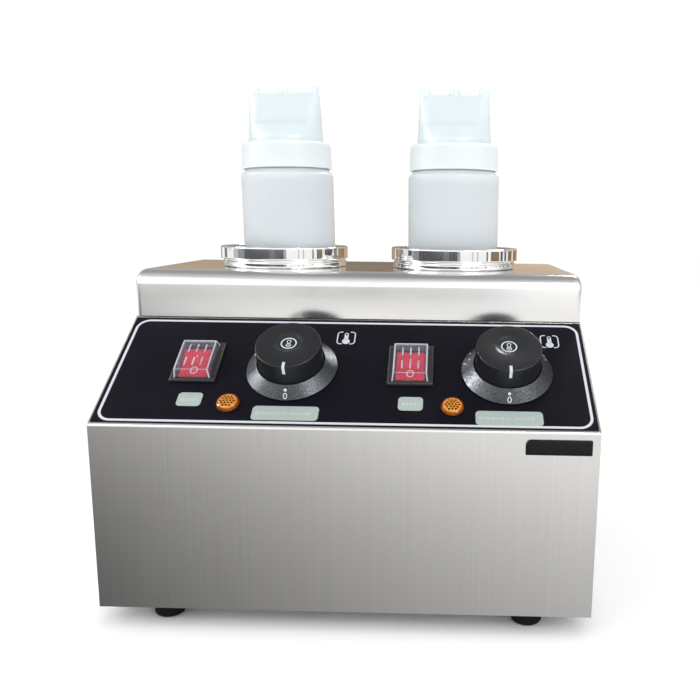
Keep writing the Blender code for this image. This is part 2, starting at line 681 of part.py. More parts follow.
def make_thermostat(name, panel):
    """Capillary thermostat behind the panel, with its dial skirt, knob and spindle in front."""
    place = (*knob_place(name), 0)
    half = 17.0
    block = box((-half, -half, THERMOSTAT_BOTTOM), (half, half, THERMOSTAT_TOP))
    body = add(f"thermostat_body_{name}", block, (0.55, 0.56, 0.55), 0.4, 0.7, parent=panel, location=place)
    bore = prism(circle(SPINDLE_RADIUS + GAP, 12), -12.0, 5.0)
    combine(body, tool(f"thermostat_bore_{name}_cutter", bore, panel, place))
    spindle = [(0, 14.6), (SPINDLE_RADIUS, 14.6), (SPINDLE_RADIUS, -11.0), (0, -11.0)]
    add(f"thermostat_spindle_{name}", turned(spindle, 12), STEEL, 0.3, 1.0, parent=panel, location=place)

    throat = KNOB_RADIUS + 0.9
    skirt = [(SKIRT_RADIUS, SEAT), (SKIRT_RADIUS, SEAT + 0.8), (throat + 0.4, SKIRT_RISE),
             (throat, SKIRT_RISE), (throat, 2.2), (4.7, 2.2), (4.7, SEAT)]
    add(f"knob_skirt_{name}", turned(skirt), (0.03, 0.032, 0.034), 0.5, parent=panel, location=place)

    top = KNOB_TOP
    grip = KNOB_RADIUS
    hub = 6.4
    bore_radius = SPINDLE_RADIUS + GAP
    knob = [(0, top - 1.3), (5.0, top - 1.2), (8.5, top), (grip - 0.6, top), (grip, top - 0.8),
            (grip + 0.4, 3.0), (grip - 1.6, 3.0), (grip - 2.0, top - 3.0), (hub, top - 3.0),
            (hub, 3.4), (bore_radius, 3.4), (bore_radius, 15.0), (0, 15.0)]
    add(f"knob_{name}", turned(knob), (0.018, 0.018, 0.02), 0.35, parent=panel, location=place)


# ---------------------------------------------------------------- supply and wiring

def make_cable_gland():
    """Cable gland in the back panel: threaded body, clamping cap and lock nut, bored through."""
    bore = 4.0
    place = (GLAND_X, BACK_Y, BOTTOM_Z + GLAND_Z)
    turn = (-90, 0, 0)
    body = [(bore, 12.0), (6.6, 12.0), (6.6, 4.6), (10.0, 4.6), (10.0, GAP), (7.8, GAP),
            (7.8, -11.0), (bore, -11.0)]
    add("gland_body", turned(body, 16), BLACK, 0.5, location=place, turn=turn)
    cap = [(bore, GLAND_REACH), (6.0, GLAND_REACH), (8.6, 16.5), (9.2, 14.0), (9.2, 4.6 + GAP),
           (6.9, 4.6 + GAP), (6.9, 12.0 + GAP), (bore, 12.0 + GAP)]
    add("gland_cap", turned(cap, 16), BLACK, 0.5, location=place, turn=turn)
    hexagon = prism(circle(12.0, 6), -INSET - 5.0, -INSET)
    nut = add("gland_nut", hexagon, BLACK, 0.5, location=place, turn=turn)
    thread = moved(prism(circle(7.8 + GAP, 16), -INSET - 8.0, 3.0), (0, 0, 0), "X", -90)
    combine(nut, tool("gland_nut_cutter", thread, location=place))


WIRE_RADIUS = 1.2


def make_wiring():
    """Terminal block on the base, and the loom from it to the controls and heaters."""
    block_y = BACK_Y - 62.0
    block_z = BOTTOM_Z + SHEET + GAP
    half = 26.0
    block = add("terminal_block", box((-half, block_y - 9, block_z), (half, block_y + 9, block_z + 16)),
                (0.85, 0.85, 0.82), 0.5)
    pockets = [moved(prism(circle(2.6, 12), -5, 3), (-half + 6.5 + i * 13.0, block_y, block_z + 16))
               for i in range(4)]
    combine(block, tool("terminal_cutter", merged(pockets)))
    low = BOTTOM_Z + 12.0
    front = FRONT_Y + 62.0
    trunk = smooth_path([(0, front, low), (0, front + 20.0, low), (0, block_y - 20.0, low),
                         (0, block_y - 9.0 - GAP, low)], 3)
    loom = add("wiring_loom", tube(trunk, 3.2, 8), (0.35, 0.05, 0.04), 0.5)
    branches = []
    for name, side in SIDES.items():
        knob_x = knob_place(name)[0]
        targets = (
            (2.0, panel_point(knob_x + SWITCH_FROM_KNOB, SWITCH_V, -22.0 - WIRE_RADIUS)),
            (10.0, panel_point(knob_x + LAMP_FROM_KNOB, LAMP_V, -20.0 - WIRE_RADIUS)),
            (18.0, panel_point(knob_x - 8.0, KNOB_V, THERMOSTAT_BOTTOM - WIRE_RADIUS)),
        )
        for lane, target in targets:
            leave = front + lane
            toward = math.copysign(1.0, target[0])
            path = [(0, leave, low), (toward * 8.0, leave, low),
                    (target[0] - toward * 6.0, leave, low + 6.0),
                    (target[0], target[1] + 5.0, target[2] - 22.0), target]
            branches.append(tube(smooth_path(path, 3), WIRE_RADIUS, 5))
        heater_x = well_axis(name)[0]
        heater = (heater_x, WELL_Y + WELL_RADIUS + 8.0, TOP_Z - 118.0)
        start_y = block_y - 24.0 - side * 3.0
        path = [(0, start_y, low), (side * 8.0, start_y, low),
                (heater_x - side * 12.0, start_y + 8.0, low + 8.0),
                (heater_x, heater[1], heater[2] - 20.0), heater]
        branches.append(tube(smooth_path(path, 3), WIRE_RADIUS, 5))
    combine(loom, tool("loom_branch_shapes", merged(branches)), "UNION")


# ---------------------------------------------------------------- bottles

def make_bottle(name):
    """Squeeze bottle with a screw collar that clamps the three-tip nozzle head on its neck."""
    offset_x, offset_y, lean = BOTTLE_STANCE[name]
    well_x, well_y = well_axis(name)
    base = (well_x + offset_x, well_y + offset_y, TOP_Z + BOTTLE_BASE)
    stance = guide(f"bottle_axis_{name}", base, (0, lean, 0))

    outer = BOTTLE_RADIUS
    inner = outer - BOTTLE_WALL
    neck_inner = NECK_RADIUS - 1.4
    foot = 6.0
    bottle = [(0, 1.2), (outer - foot - 6.0, 0.6), *arc((outer - foot, foot), foot, -90, 0, 2),
              *arc((outer - 2.6, SHOULDER_HEIGHT - 2.6), 2.6, 0, 90, 2),
              (NECK_RADIUS + 1.3, SHOULDER_HEIGHT), (NECK_RADIUS + 1.3, COLLAR_BOTTOM - 1.0),
              (NECK_RADIUS, COLLAR_BOTTOM - 0.6), (NECK_RADIUS, NECK_TOP), (neck_inner, NECK_TOP),
              (neck_inner, SHOULDER_HEIGHT - 2.0), (inner, SHOULDER_HEIGHT - 4.6),
              (inner, foot + 1.0), (inner - foot + 1.0, 2.2), (0, 2.6)]
    add(f"bottle_{name}", turned(bottle, BOTTLE_SIDES), (0.80, 0.82, 0.83), 0.35, parent=stance)

    bore = NECK_RADIUS + 1.5
    lip = COLLAR_TOP - 2.6
    collar = [(HEAD_RADIUS + GAP, COLLAR_TOP), *arc((COLLAR_RADIUS - 3.4, COLLAR_TOP - 3.2), 3.2, 90, 0, 3),
              (COLLAR_RADIUS, COLLAR_BOTTOM), (bore, COLLAR_BOTTOM), (bore, lip), (HEAD_RADIUS + GAP, lip)]
    add(f"cap_collar_{name}", turned(collar, BOTTLE_SIDES), (0.86, 0.89, 0.90), 0.35, parent=stance)

    make_nozzle_head(name, stance, lip - GAP)


def head_section(half_x, half_y, height, steps):
    """Ring of points on a superellipse that turns from a circle into a flat-sided slot."""
    # the flatter the section, the squarer its outline
    power = 2.0 + 1.6 * (1.0 - half_y / half_x)
    ring = []
    for x, y in circle(1.0, steps):
        length = (abs(x) ** power + abs(y) ** power) ** (-1.0 / power)
        ring.append((half_x * x * length, half_y * y * length, height))
    return ring


def make_nozzle_head(name, stance, flange_top):
    """Hollow nozzle: a round base drawn into a flat-faced block with three bored tips."""
    wall = 1.6
    flange = NECK_RADIUS + 0.9
    neck = NECK_TOP + GAP
    outer = [(26.0, 5.6, HEAD_TOP), (26.8, 14.5, 232.5), (27.1, 21.0, 225.5),
             (HEAD_RADIUS, HEAD_RADIUS, 217.0), (HEAD_RADIUS, HEAD_RADIUS, flange_top),
             (flange, flange, flange_top), (flange, flange, neck)]
    base = HEAD_RADIUS - wall - 0.4
    inner = [(base, base, neck), (base, base, 216.5), (26.9 - wall, 20.0 - wall, 225.0),
             (26.6 - wall, 13.6 - wall, 232.0), (25.8 - wall, 5.6 - wall, HEAD_TOP - 1.8)]
    shell = lofted([head_section(x, y, z, BOTTLE_SIDES) for x, y, z in outer + inner])
    head = add(f"nozzle_head_{name}", shell, (0.86, 0.89, 0.90), 0.3, parent=stance)
    tips = []
    bores = []
    for i in (-1, 0, 1):
        shift = (i * TIP_SPACING, 0, 0)
        tip = [(0, TIP_TOP), (3.6, TIP_TOP), (4.3, HEAD_TOP - 1.2), (0, HEAD_TOP - 1.2)]
        tips.append(moved(turned(tip, 12), shift))
        bores.append(moved(prism(circle(1.6, 8), HEAD_TOP - 4.0, TIP_TOP + 2.0), shift))
    combine(head, tool(f"nozzle_tips_{name}_shape", merged(tips), stance), "UNION")
    combine(head, tool(f"nozzle_bores_{name}_cutter", merged(bores), stance))


# ---------------------------------------------------------------- assembly

def main():
    """Build the whole warmer in an empty scene."""
    for thing in list(bpy.data.objects):
        bpy.data.objects.remove(thing)
    holes = screw_holes()
    panel = guide("panel_axes", panel_point(0, 0, 0), (math.degrees(SLOPE), 0, 0))
    openings = tool("panel_cutter", merged(panel_openings()), panel)
    make_front_panel(openings)
    make_side_panels(holes)
    make_back_panel(holes)
    make_base_plate(holes)
    make_top_cover(holes)
    make_seam_brackets(holes)
    make_hood_screws()
    make_feet()
    make_plates()
    make_overlay(panel, openings)
    for name in SIDES:
        make_well(name)
        make_heating(name)
        make_sensor(name)
        make_switch(name, panel)
        make_lamp(name, panel)
        make_thermostat(name, panel)
        make_bottle(name)
    make_cable_gland()
    make_wiring()


main()
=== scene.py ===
import math

import bmesh
import bpy
from mathutils import Matrix, Vector


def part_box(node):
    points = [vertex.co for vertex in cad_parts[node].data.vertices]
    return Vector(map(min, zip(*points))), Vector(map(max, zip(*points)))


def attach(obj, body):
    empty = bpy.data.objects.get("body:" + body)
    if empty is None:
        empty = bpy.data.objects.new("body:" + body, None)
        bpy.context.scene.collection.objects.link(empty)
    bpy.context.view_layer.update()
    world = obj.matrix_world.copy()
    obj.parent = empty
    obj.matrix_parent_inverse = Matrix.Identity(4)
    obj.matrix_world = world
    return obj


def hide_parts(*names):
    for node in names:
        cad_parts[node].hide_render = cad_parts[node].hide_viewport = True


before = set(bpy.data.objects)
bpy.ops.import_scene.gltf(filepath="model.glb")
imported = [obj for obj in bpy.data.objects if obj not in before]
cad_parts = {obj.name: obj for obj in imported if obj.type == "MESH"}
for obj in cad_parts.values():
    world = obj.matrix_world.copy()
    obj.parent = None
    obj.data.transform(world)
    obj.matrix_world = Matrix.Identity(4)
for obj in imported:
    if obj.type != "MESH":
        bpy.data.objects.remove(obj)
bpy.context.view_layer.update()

MM = 0.001
SIDES = ("left", "right")

# Casing, in millimetres
WIDTH = 310.0
DEPTH = 233.1
FRONT_HEIGHT = 119.2
SLOPE_RUN = 82.6
SLOPE_RISE = 54.9
HOOD_ROUND = 10.0
HOOD_SIDE_ROUND = 4.4
HOOD_CORNER = 4.0
SHEET = 1.0
FRONT_Y = -125.8
BACK_Y = FRONT_Y + DEPTH
BOTTOM_Z = 12.0
TOP_Z = 219.2
HOOD_BOTTOM_Z = 187.1
INSET = 1.3
SLOPE = math.atan2(SLOPE_RISE, SLOPE_RUN)

WELL_X = {"left": -63.7, "right": 67.7}
WELL_Y = 26.1
WELL_RADIUS = 43.0
WELL_DEPTH = 123.2
RING_RADIUS = 48.3
RING_HEIGHT = 15.4

KNOB_X = {"left": -37.7, "right": 101.3}
KNOB_V = 50.1
KNOB_RADIUS = 20.7
KNOB_TOP = 22.2
SKIRT_RADIUS = 29.3
SWITCH_X = {"left": -99.9, "right": 39.1}
SWITCH_V = 53.7
BODY_V = -1.2
COVER_V = -0.6
ROCKER_V = -2.6
LAMP_X = {"left": -72.9, "right": 66.1}
LAMP_V = 18.3
POWER_PAD = {"left": (-97.7, 21.5), "right": (40.2, 20.8)}
DIAL_PAD = {"left": (-36.2, 11.2), "right": (100.7, 10.2)}
PICTOGRAM = {"left": (-5.6, 80.1), "right": (131.4, 79.6)}
FILM_TOP = 0.6

BOTTLE_BASE = {"left": (-56.6, 23.6, 97.2), "right": (67.3, 28.6, 97.2)}
BOTTLE_LEAN = {"left": -1.05, "right": -0.3}

PANEL = Matrix.Translation((0, FRONT_Y, BOTTOM_Z + FRONT_HEIGHT)) @ Matrix.Rotation(SLOPE, 4, "X")


def spin(degrees, axis):
    """Rotation about an axis."""
    return Matrix.Rotation(math.radians(degrees), 4, axis)


def shift(x=0.0, y=0.0, z=0.0):
    """Translation."""
    return Matrix.Translation((x, y, z))


# Profiles and outlines

def arc(centre, radius, start, end, steps):
    """Points on a circle, angles in degrees."""
    angles = [math.radians(start + (end - start) * i / steps) for i in range(steps + 1)]
    return [(centre[0] + radius * math.cos(a), centre[1] + radius * math.sin(a)) for a in angles]


def circle(radius, steps, centre=(0, 0)):
    """Counter-clockwise points of a circle."""
    return arc(centre, radius, 0, 360 * (steps - 1) / steps, steps - 1)


def rounded(half_x, half_y, radius, steps=8, centre=(0, 0)):
    """Counter-clockwise outline of a rectangle with round corners."""
    outline = []
    for sign_x, sign_y, start in ((1, 1, 0), (-1, 1, 90), (-1, -1, 180), (1, -1, 270)):
        middle = (centre[0] + sign_x * (half_x - radius), centre[1] + sign_y * (half_y - radius))
        outline += arc(middle, radius, start, start + 90, steps)
    return outline


def fillet(points, steps=4):
    """Round the corners of a profile; a third number on a point is its corner radius.

    Each round gets a point a little way along both straights, so that those shade flat.
    """
    result = []
    brace = 0.5
    for i, point in enumerate(points):
        here = Vector(point[:2])
        radius = point[2] if len(point) > 2 else 0.0
        if not radius:
            result.append(here)
            continue
        back = Vector(points[i - 1][:2]) - here
        ahead = Vector(points[(i + 1) % len(points)][:2]) - here
        half = back.angle(ahead) / 2
        reach = min(radius / math.tan(half), back.length * 0.49, ahead.length * 0.49)
        radius = reach * math.tan(half)
        middle = (back.normalized() + ahead.normalized()).normalized()
        centre = here + middle * (radius / math.sin(half))
        first = here + back.normalized() * reach - centre
        last = here + ahead.normalized() * reach - centre
        sweep = first.angle_signed(last)
        if back.length - reach > 3 * brace:
            result.append(here + back.normalized() * (reach + brace))
        for k in range(steps + 1):
            result.append(centre + Matrix.Rotation(-sweep * k / steps, 2) @ first)
        if ahead.length - reach > 3 * brace:
            result.append(here + ahead.normalized() * (reach + brace))
    return result


# Mesh builders

def bridge(bm, first, second):
    """Quads between two loops of vertices; a loop of one vertex is a pole."""
    count = max(len(first), len(second))
    for i in range(count):
        j = (i + 1) % count
        corners = [first[i % len(first)], first[j % len(first)],
                   second[j % len(second)], second[i % len(second)]]
        face = list(dict.fromkeys(corners))
        if len(face) > 2:
            bm.faces.new(face)


def turned(profile, steps=96, wave=None):
    """Closed solid of revolution about Z; wave(angle, index) scales the radius."""
    loops = []
    for index, (radius, height) in enumerate(profile):
        angles = [2 * math.pi * k / steps for k in range(steps if radius > 1e-6 else 1)]
        reaches = [radius * (wave(a, index) if wave else 1.0) for a in angles]
        loops.append([(r * math.cos(a), r * math.sin(a), height) for a, r in zip(angles, reaches)])
    return lofted(loops, ends=False)


def lofted(loops, ends=True):
    """Solid through loops of 3-D points; without ends it joins the last loop to the first."""
    bm = bmesh.new()
    rings = [[bm.verts.new(point) for point in loop] for loop in loops]
    for first, second in zip(rings, rings[1:]):
        bridge(bm, first, second)
    if ends:
        bm.faces.new(rings[0])
        bm.faces.new(rings[-1])
    else:
        bridge(bm, rings[-1], rings[0])
    return bm


def prism(outline, low, high, axis="Z"):
    """Extrusion of an outline along an axis."""
    return lofted([[(s, p[0], p[1]) if axis == "X" else (p[0], p[1], s) for p in outline]
                   for s in (low, high)])


def frame_strip(outer, inner, low, high):
    """Flat band between two outlines with the same number of points."""
    loops = [[(*p, z) for p in outline] for outline, z in
             ((outer, low), (outer, high), (inner, high), (inner, low))]
    return lofted(loops, ends=False)


def stroke(points, width, low, high, closed=False):
    """Flat line of even width through 2-D points, with square ends."""
    path = [Vector(p) for p in points]
    left, right = [], []
    count = len(path)
    for i, point in enumerate(path):
        before = path[i - 1] if closed or i > 0 else point
        after = path[(i + 1) % count] if closed or i < count - 1 else point
        along = (after - before).normalized()
        side = Vector((-along.y, along.x)) * (width / 2)
        left.append(point + side)
        right.append(point - side)
    return frame_strip(left, right, low, high) if closed else prism(left + right[::-1], low, high)


def box(low, high):
    """Rectangular block between two corners."""
    return prism([(low[0], low[1]), (high[0], low[1]), (high[0], high[1]), (low[0], high[1])],
                 low[2], high[2])


def joined(parts):
    """One mesh holding every given mesh."""
    bm = bmesh.new()
    for part in parts:
        mesh = bpy.data.meshes.new("part")
        part.to_mesh(mesh)
        part.free()
        bm.from_mesh(mesh)
        bpy.data.meshes.remove(mesh)
    return bm


def placed(bm, matrix):
    """The same mesh after a transform."""
    bm.transform(matrix)
    return bm


def offset(bm, x=0.0, y=0.0, z=0.0):
    """The same mesh after a shift."""
    return placed(bm, shift(x, y, z))


# Pieces

def add(name, data):
    """New object in the scene."""
    thing = bpy.data.objects.new(name, data)
    bpy.context.scene.collection.objects.link(thing)
    return thing


def solid(name, bm, matrix=Matrix.Identity(4)):
    """Object from a closed mesh in millimetres, put in the world frame by the matrix."""
    bmesh.ops.recalc_face_normals(bm, faces=bm.faces)
    bm.transform(Matrix.Scale(MM, 4) @ matrix)
    mesh = bpy.data.meshes.new(name)
    bm.to_mesh(mesh)
    bm.free()
    return add(name, mesh)


def boolean(thing, bm, matrix=Matrix.Identity(4), operation="DIFFERENCE"):
    """Cut or join a mesh in millimetres into an object, at once."""
    operand = solid("operand", bm, matrix)
    modifier = thing.modifiers.new("boolean", "BOOLEAN")
    modifier.operation = operation
    modifier.solver = "EXACT"
    modifier.object = operand
    bpy.context.view_layer.update()
    graph = bpy.context.evaluated_depsgraph_get()
    result = bpy.data.meshes.new_from_object(thing.evaluated_get(graph))
    thing.modifiers.remove(modifier)
    old = thing.data
    thing.data = result
    bpy.data.meshes.remove(old)
    bpy.data.objects.remove(operand)


def soften(thing, width, segments=2, angle=30.0):
    """Small bevel on the sharp edges."""
    bevel = thing.modifiers.new("bevel", "BEVEL")
    bevel.width = width * MM
    bevel.segments = segments
    bevel.limit_method = "ANGLE"
    bevel.angle_limit = math.radians(angle)


def finish(thing, material, *replaces, body="warmer_body", slot=None, angle=35.0):
    """Shade a piece, paint it and hang it on its body."""
    thing.data.shade_smooth()
    thing.data.set_sharp_from_angle(angle=math.radians(angle))
    thing.data.materials.clear()
    thing.data.materials.append(material)
    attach(thing, body)
    slot or SLOTS[material]
    if replaces:
        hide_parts(*replaces)


def piece(name, parts, material, matrix, *replaces, **settings):
    """Finished piece from a list of meshes."""
    finish(solid(name, joined(parts), matrix), material, *replaces, **settings)


def paint(node, material, bevel=0.0):
    """Give a carried-over CAD node its material, and a small bevel if asked."""
    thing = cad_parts[node]
    thing.data.materials.clear()
    thing.data.materials.append(material)
    if bevel:
        thing.modifiers.new("weld", "WELD").merge_threshold = 0.00001
        soften(thing, bevel)


# Materials

def preset(node, **sockets):
    """Set a shader node's inputs by name."""
    for socket, value in sockets.items():
        node.inputs[socket.replace("_", " ")].default_value = value
    return node


# Slot name for each material, unless a piece asks for another; finish() looks it up but assigns nothing
SLOTS = {}

# Sockets of a colour mix node
FACTOR, FIRST, SECOND, BLEND = 0, 6, 7, 2


class Paint:
    """Builder round one Principled material whose textures use object coordinates."""

    def __init__(self, name, colour, roughness, metallic=0.0, **sockets):
        self.material = bpy.data.materials.new(name)
        self.material.use_nodes = True
        SLOTS[self.material] = name
        self.tree = self.material.node_tree
        self.shader = self.tree.nodes["Principled BSDF"]
        preset(self.shader, Base_Color=(*colour, 1.0), Roughness=roughness, Metallic=metallic)
        preset(self.shader, **sockets)
        self.place = self.node("TexCoord").outputs["Object"]

    def node(self, kind, **settings):
        """New node with its plain settings."""
        made = self.tree.nodes.new("ShaderNode" + kind)
        for key, value in settings.items():
            setattr(made, key, value)
        return made

    def link(self, source, target):
        """Wire an output to an input."""
        self.tree.links.new(source, target)

    def noise(self, scale, detail=3.0, roughness=0.5):
        """Noise value with its own scale on each axis, in features per metre."""
        mapping = preset(self.node("Mapping"), Scale=scale)
        self.link(self.place, mapping.inputs["Vector"])
        noise = preset(self.node("TexNoise"), Scale=1.0, Detail=detail, Roughness=roughness)
        self.link(mapping.outputs["Vector"], noise.inputs["Vector"])
        return noise.outputs["Fac"]

    def spread(self, value, low, high):
        """Map the middle of a noise to a range."""
        mapped = preset(self.node("MapRange"), From_Min=0.3, From_Max=0.7, To_Min=low, To_Max=high)
        self.link(value, mapped.inputs["Value"])
        return mapped.outputs["Result"]

    def tint(self, factor, other):
        """Blend the base colour towards another one by a factor output."""
        mix = self.node("Mix", data_type="RGBA")
        target = self.shader.inputs["Base Color"]
        if target.is_linked:
            self.link(target.links[0].from_socket, mix.inputs[FIRST])
        else:
            mix.inputs[FIRST].default_value = target.default_value
        mix.inputs[SECOND].default_value = (*other, 1.0)
        self.link(factor, mix.inputs[FACTOR])
        self.link(mix.outputs[BLEND], target)

    def rough(self, value, low, high):
        """Drive the roughness by a noise."""
        self.link(self.spread(value, low, high), self.shader.inputs["Roughness"])

    def bump(self, value, distance, strength):
        """Add a bump of that height in millimetres."""
        bump = preset(self.node("Bump"), Distance=distance * MM, Strength=strength)
        self.link(value, bump.inputs["Height"])
        self.link(bump.outputs["Normal"], self.shader.inputs["Normal"])


def brushed(name, colour, low, high, grain, anisotropic=0.6):
    """Brushed sheet: fine streaks along the grain axis, soft smudges and a faint tint."""
    coat = Paint(name, colour, (low + high) / 2, 1.0, Anisotropic=anisotropic)
    fine = [9.0 if axis == grain else 2600.0 for axis in "XYZ"]
    coarse = [value / 4 for value in fine]
    streaks = coat.noise(fine, 2.0, 0.6)
    bands = coat.noise(coarse, 2.0, 0.5)
    smudge = coat.noise((14.0,) * 3, 4.0, 0.6)
    coat.rough(smudge, low, high)
    coat.tint(coat.spread(bands, 0.0, 0.5), tuple(c * 0.92 for c in colour))
    coat.tint(coat.spread(streaks, 0.0, 0.45), tuple(min(1.0, c * 1.06) for c in colour))
    coat.bump(streaks, 0.003, 0.3)
    tangent = coat.node("Tangent", direction_type="RADIAL", axis="Z")
    coat.link(tangent.outputs["Tangent"], coat.shader.inputs["Tangent"])
    return coat.material


def polished(name, colour, low, high):
    """Turned and polished metal with faint lathe marks."""
    coat = Paint(name, colour, low, 1.0)
    marks = coat.noise((90.0, 90.0, 3000.0), 2.0)
    coat.rough(coat.noise((60.0,) * 3, 4.0), low, high)
    coat.bump(marks, 0.001, 0.4)
    return coat.material


def moulded(name, colour, roughness, grain, depth, tint=None, **sockets):
    """Moulded plastic or rubber with a spark-eroded skin: grain is in features per metre."""
    coat = Paint(name, colour, roughness, **sockets)
    skin = coat.noise((grain,) * 3, 2.0, 0.6)
    cloud = coat.noise((40.0,) * 3, 3.0)
    coat.rough(cloud, roughness * 0.85, min(1.0, roughness * 1.15))
    coat.tint(coat.spread(skin, 0.0, 0.6), tint or tuple(c * 1.6 for c in colour))
    coat.bump(skin, depth, 0.6)
    return coat.material


def milky(name, colour, roughness, transmission, depth):
    """Translucent squeeze-bottle plastic with a slightly uneven wall."""
    coat = Paint(name, colour, roughness, Transmission_Weight=transmission, IOR=1.45,
                 Subsurface_Weight=0.5, Subsurface_Scale=depth * MM, Subsurface_Radius=(1.0,) * 3)
    wall = coat.noise((45.0, 45.0, 18.0), 3.0, 0.5)
    coat.tint(coat.spread(wall, 0.0, 0.35), tuple(c * 0.94 for c in colour))
    coat.rough(wall, roughness * 0.9, roughness * 1.1)
    coat.bump(wall, 0.008, 0.3)
    return coat.material


def clear(name, colour, roughness, transmission):
    """Clear plastic with a faint milky haze in the moulding."""
    coat = Paint(name, colour, roughness, Transmission_Weight=transmission, IOR=1.22)
    haze = coat.noise((160.0,) * 3, 3.0)
    coat.rough(haze, roughness * 0.6, roughness * 1.6)
    coat.bump(haze, 0.01, 0.3)
    return coat.material


def amber(name, colour, glow, strength, deep):
    """Amber lens plastic with cloudy depths that glows a little."""
    coat = Paint(name, colour, 0.12, Transmission_Weight=0.25, IOR=1.5, Emission_Strength=strength,
                 Emission_Color=(*glow, 1.0))
    cloud = coat.noise((620.0,) * 3, 2.0)
    coat.tint(coat.spread(cloud, 0.0, 0.9), deep)
    coat.bump(cloud, 0.02, 0.3)
    return coat.material


STEEL = brushed("brushed_steel", (0.72, 0.715, 0.705), 0.23, 0.268, "Z")
HOOD_STEEL = brushed("hood_steel", (0.82, 0.815, 0.805), 0.15, 0.21, "X", 0.3)
WELL_STEEL = polished("well_steel", (0.7, 0.7, 0.69), 0.16, 0.26)
CHROME = polished("polished_steel", (0.86, 0.86, 0.85), 0.03, 0.06)
ZINC = brushed("galvanised_steel", (0.58, 0.59, 0.6), 0.35, 0.5, "X", 0.2)
SCREW_METAL = polished("screw_steel", (0.72, 0.72, 0.71), 0.18, 0.265)
FILM = moulded("overlay_film", (0.0046, 0.0038, 0.0082), 0.42, 2600.0, 0.02, (0.01, 0.009, 0.016),
               Specular_IOR_Level=0.08)
PRINT = moulded("white_print", (0.66, 0.69, 0.75), 0.5, 1500.0, 0.003, (0.58, 0.61, 0.67))
LABEL = moulded("label_print", (0.38, 0.46, 0.43), 0.55, 1200.0, 0.004, (0.41, 0.49, 0.46))
LETTERING = moulded("label_lettering", (0.49, 0.57, 0.54), 0.55, 1200.0, 0.003, (0.46, 0.54, 0.51))
KNOB_BLACK = moulded("knob_black", (0.01, 0.011, 0.013), 0.38, 1500.0, 0.006, (0.017, 0.018, 0.021),
                     Specular_IOR_Level=0.38)
SKIRT_BLACK = moulded("skirt_black", (0.04, 0.043, 0.048), 0.34, 1000.0, 0.2, (0.13, 0.135, 0.145),
                      Metallic=1.0)
SWITCH_BLACK = moulded("switch_black", (0.014, 0.014, 0.016), 0.45, 1600.0, 0.03, (0.032, 0.032, 0.034))
ROCKER_RED = moulded("rocker_red", (0.72, 0.01, 0.05), 0.34, 900.0, 0.004, (0.8, 0.022, 0.08),
                     Subsurface_Weight=0.2, Subsurface_Scale=0.002)
# pale opaque strips that paint the highlights along the clear cover's edges
EDGE_HIGHLIGHT = moulded("cover_edge_highlight", (0.62, 0.64, 0.7), 0.35, 900.0, 0.01, (0.55, 0.57, 0.63))
RUBBER = moulded("foot_rubber", (0.006, 0.005, 0.005), 0.75, 700.0, 0.03, Specular_IOR_Level=0.15)
BADGE = moulded("badge_black", (0.005, 0.004, 0.005), 0.14, 300.0, 0.002, Specular_IOR_Level=0.2)
NYLON = moulded("gland_nylon", (0.02, 0.02, 0.022), 0.45, 900.0, 0.01)
BOTTLE = milky("bottle_plastic", (0.87, 0.94, 0.99), 0.33, 0.22, 5.0)
CAP = milky("cap_plastic", (0.715, 0.81, 0.84), 0.36, 0.0, 4.0)
COLLAR = milky("collar_plastic", (0.81, 0.885, 0.905), 0.36, 0.0, 4.0)
COPPER = polished("copper", (0.72, 0.42, 0.26), 0.2, 0.265)
TERMINAL = moulded("terminal_plastic", (0.8, 0.8, 0.76), 0.45, 500.0, 0.01, (0.7, 0.7, 0.66))
WIRE = moulded("wire_red", (0.32, 0.03, 0.025), 0.5, 900.0, 0.02)
MICA = brushed("heater_mica", (0.42, 0.39, 0.33), 0.4, 0.55, "Z", 0.0)
LAGGING = moulded("lagging", (0.72, 0.7, 0.62), 0.95, 350.0, 0.6, (0.5, 0.48, 0.42))
PHENOLIC = moulded("cutout_black", (0.06, 0.05, 0.045), 0.5, 700.0, 0.02)
COVER = clear("cover_clear", (0.95, 0.93, 0.98), 0.05, 0.97)
# pale purple veil for the cover's walls: painted reflection of the light the clear walls catch
WALL_SHEEN = clear("cover_wall_sheen", (0.52, 0.5, 0.66), 0.34, 0.7)
AMBER = amber("lens_amber", (0.95, 0.42, 0.03), (1.0, 0.42, 0.03), 0.16, (0.5, 0.12, 0.002))
AMBER_RIM = amber("lens_rim", (0.44, 0.095, 0.005), (1.0, 0.3, 0.02), 0.03, (0.2, 0.035, 0.0))
# dark amber for the dimple floors: painted shade in the lens's recesses
DIMPLE_SHADE = amber("lens_dimple_shade", (0.09, 0.018, 0.004), (0.4, 0.06, 0.0), 0.01, (0.03, 0.006, 0.002))

SLOTS.update({HOOD_STEEL: "brushed_steel", FILM: "overlay_black", PRINT: "overlay_black",
              LABEL: "overlay_black", LETTERING: "overlay_black", EDGE_HIGHLIGHT: "cover_clear",
              WALL_SHEEN: "cover_clear", AMBER_RIM: "lens_amber", DIMPLE_SHADE: "lens_amber", NYLON: "gland_black",
              COLLAR: "cap_plastic"})


# Casing

def bent_sheet(corners, bend, thickness):
    """Outline of a folded sheet whose outer face runs through the corners, to its left."""
    steps = 12
    points = [Vector(p) for p in corners]
    outer = [(points[0], (points[1] - points[0]).normalized())]
    for before, corner, after in zip(points, points[1:], points[2:]):
        a = (corner - before).normalized()
        b = (after - corner).normalized()
        turn = a.angle_signed(b)
        radius = bend if turn > 0 else bend + thickness
        reach = radius * math.tan(abs(turn) / 2)
        right = Vector((a.y, -a.x)) * (1 if turn > 0 else -1)
        for i in range(steps + 1):
            swing = abs(turn) * i / steps
            direction = Matrix.Rotation(-math.copysign(swing, turn), 2) @ a
            spot = corner - a * reach + a * (radius * math.sin(swing))
            outer.append((spot + right * (radius * (1 - math.cos(swing))), direction))
    outer.append((points[-1], (points[-1] - points[-2]).normalized()))
    inner = [p + Vector((d.y, -d.x)) * thickness for p, d in outer]
    return [p for p, _ in outer] + inner[::-1]


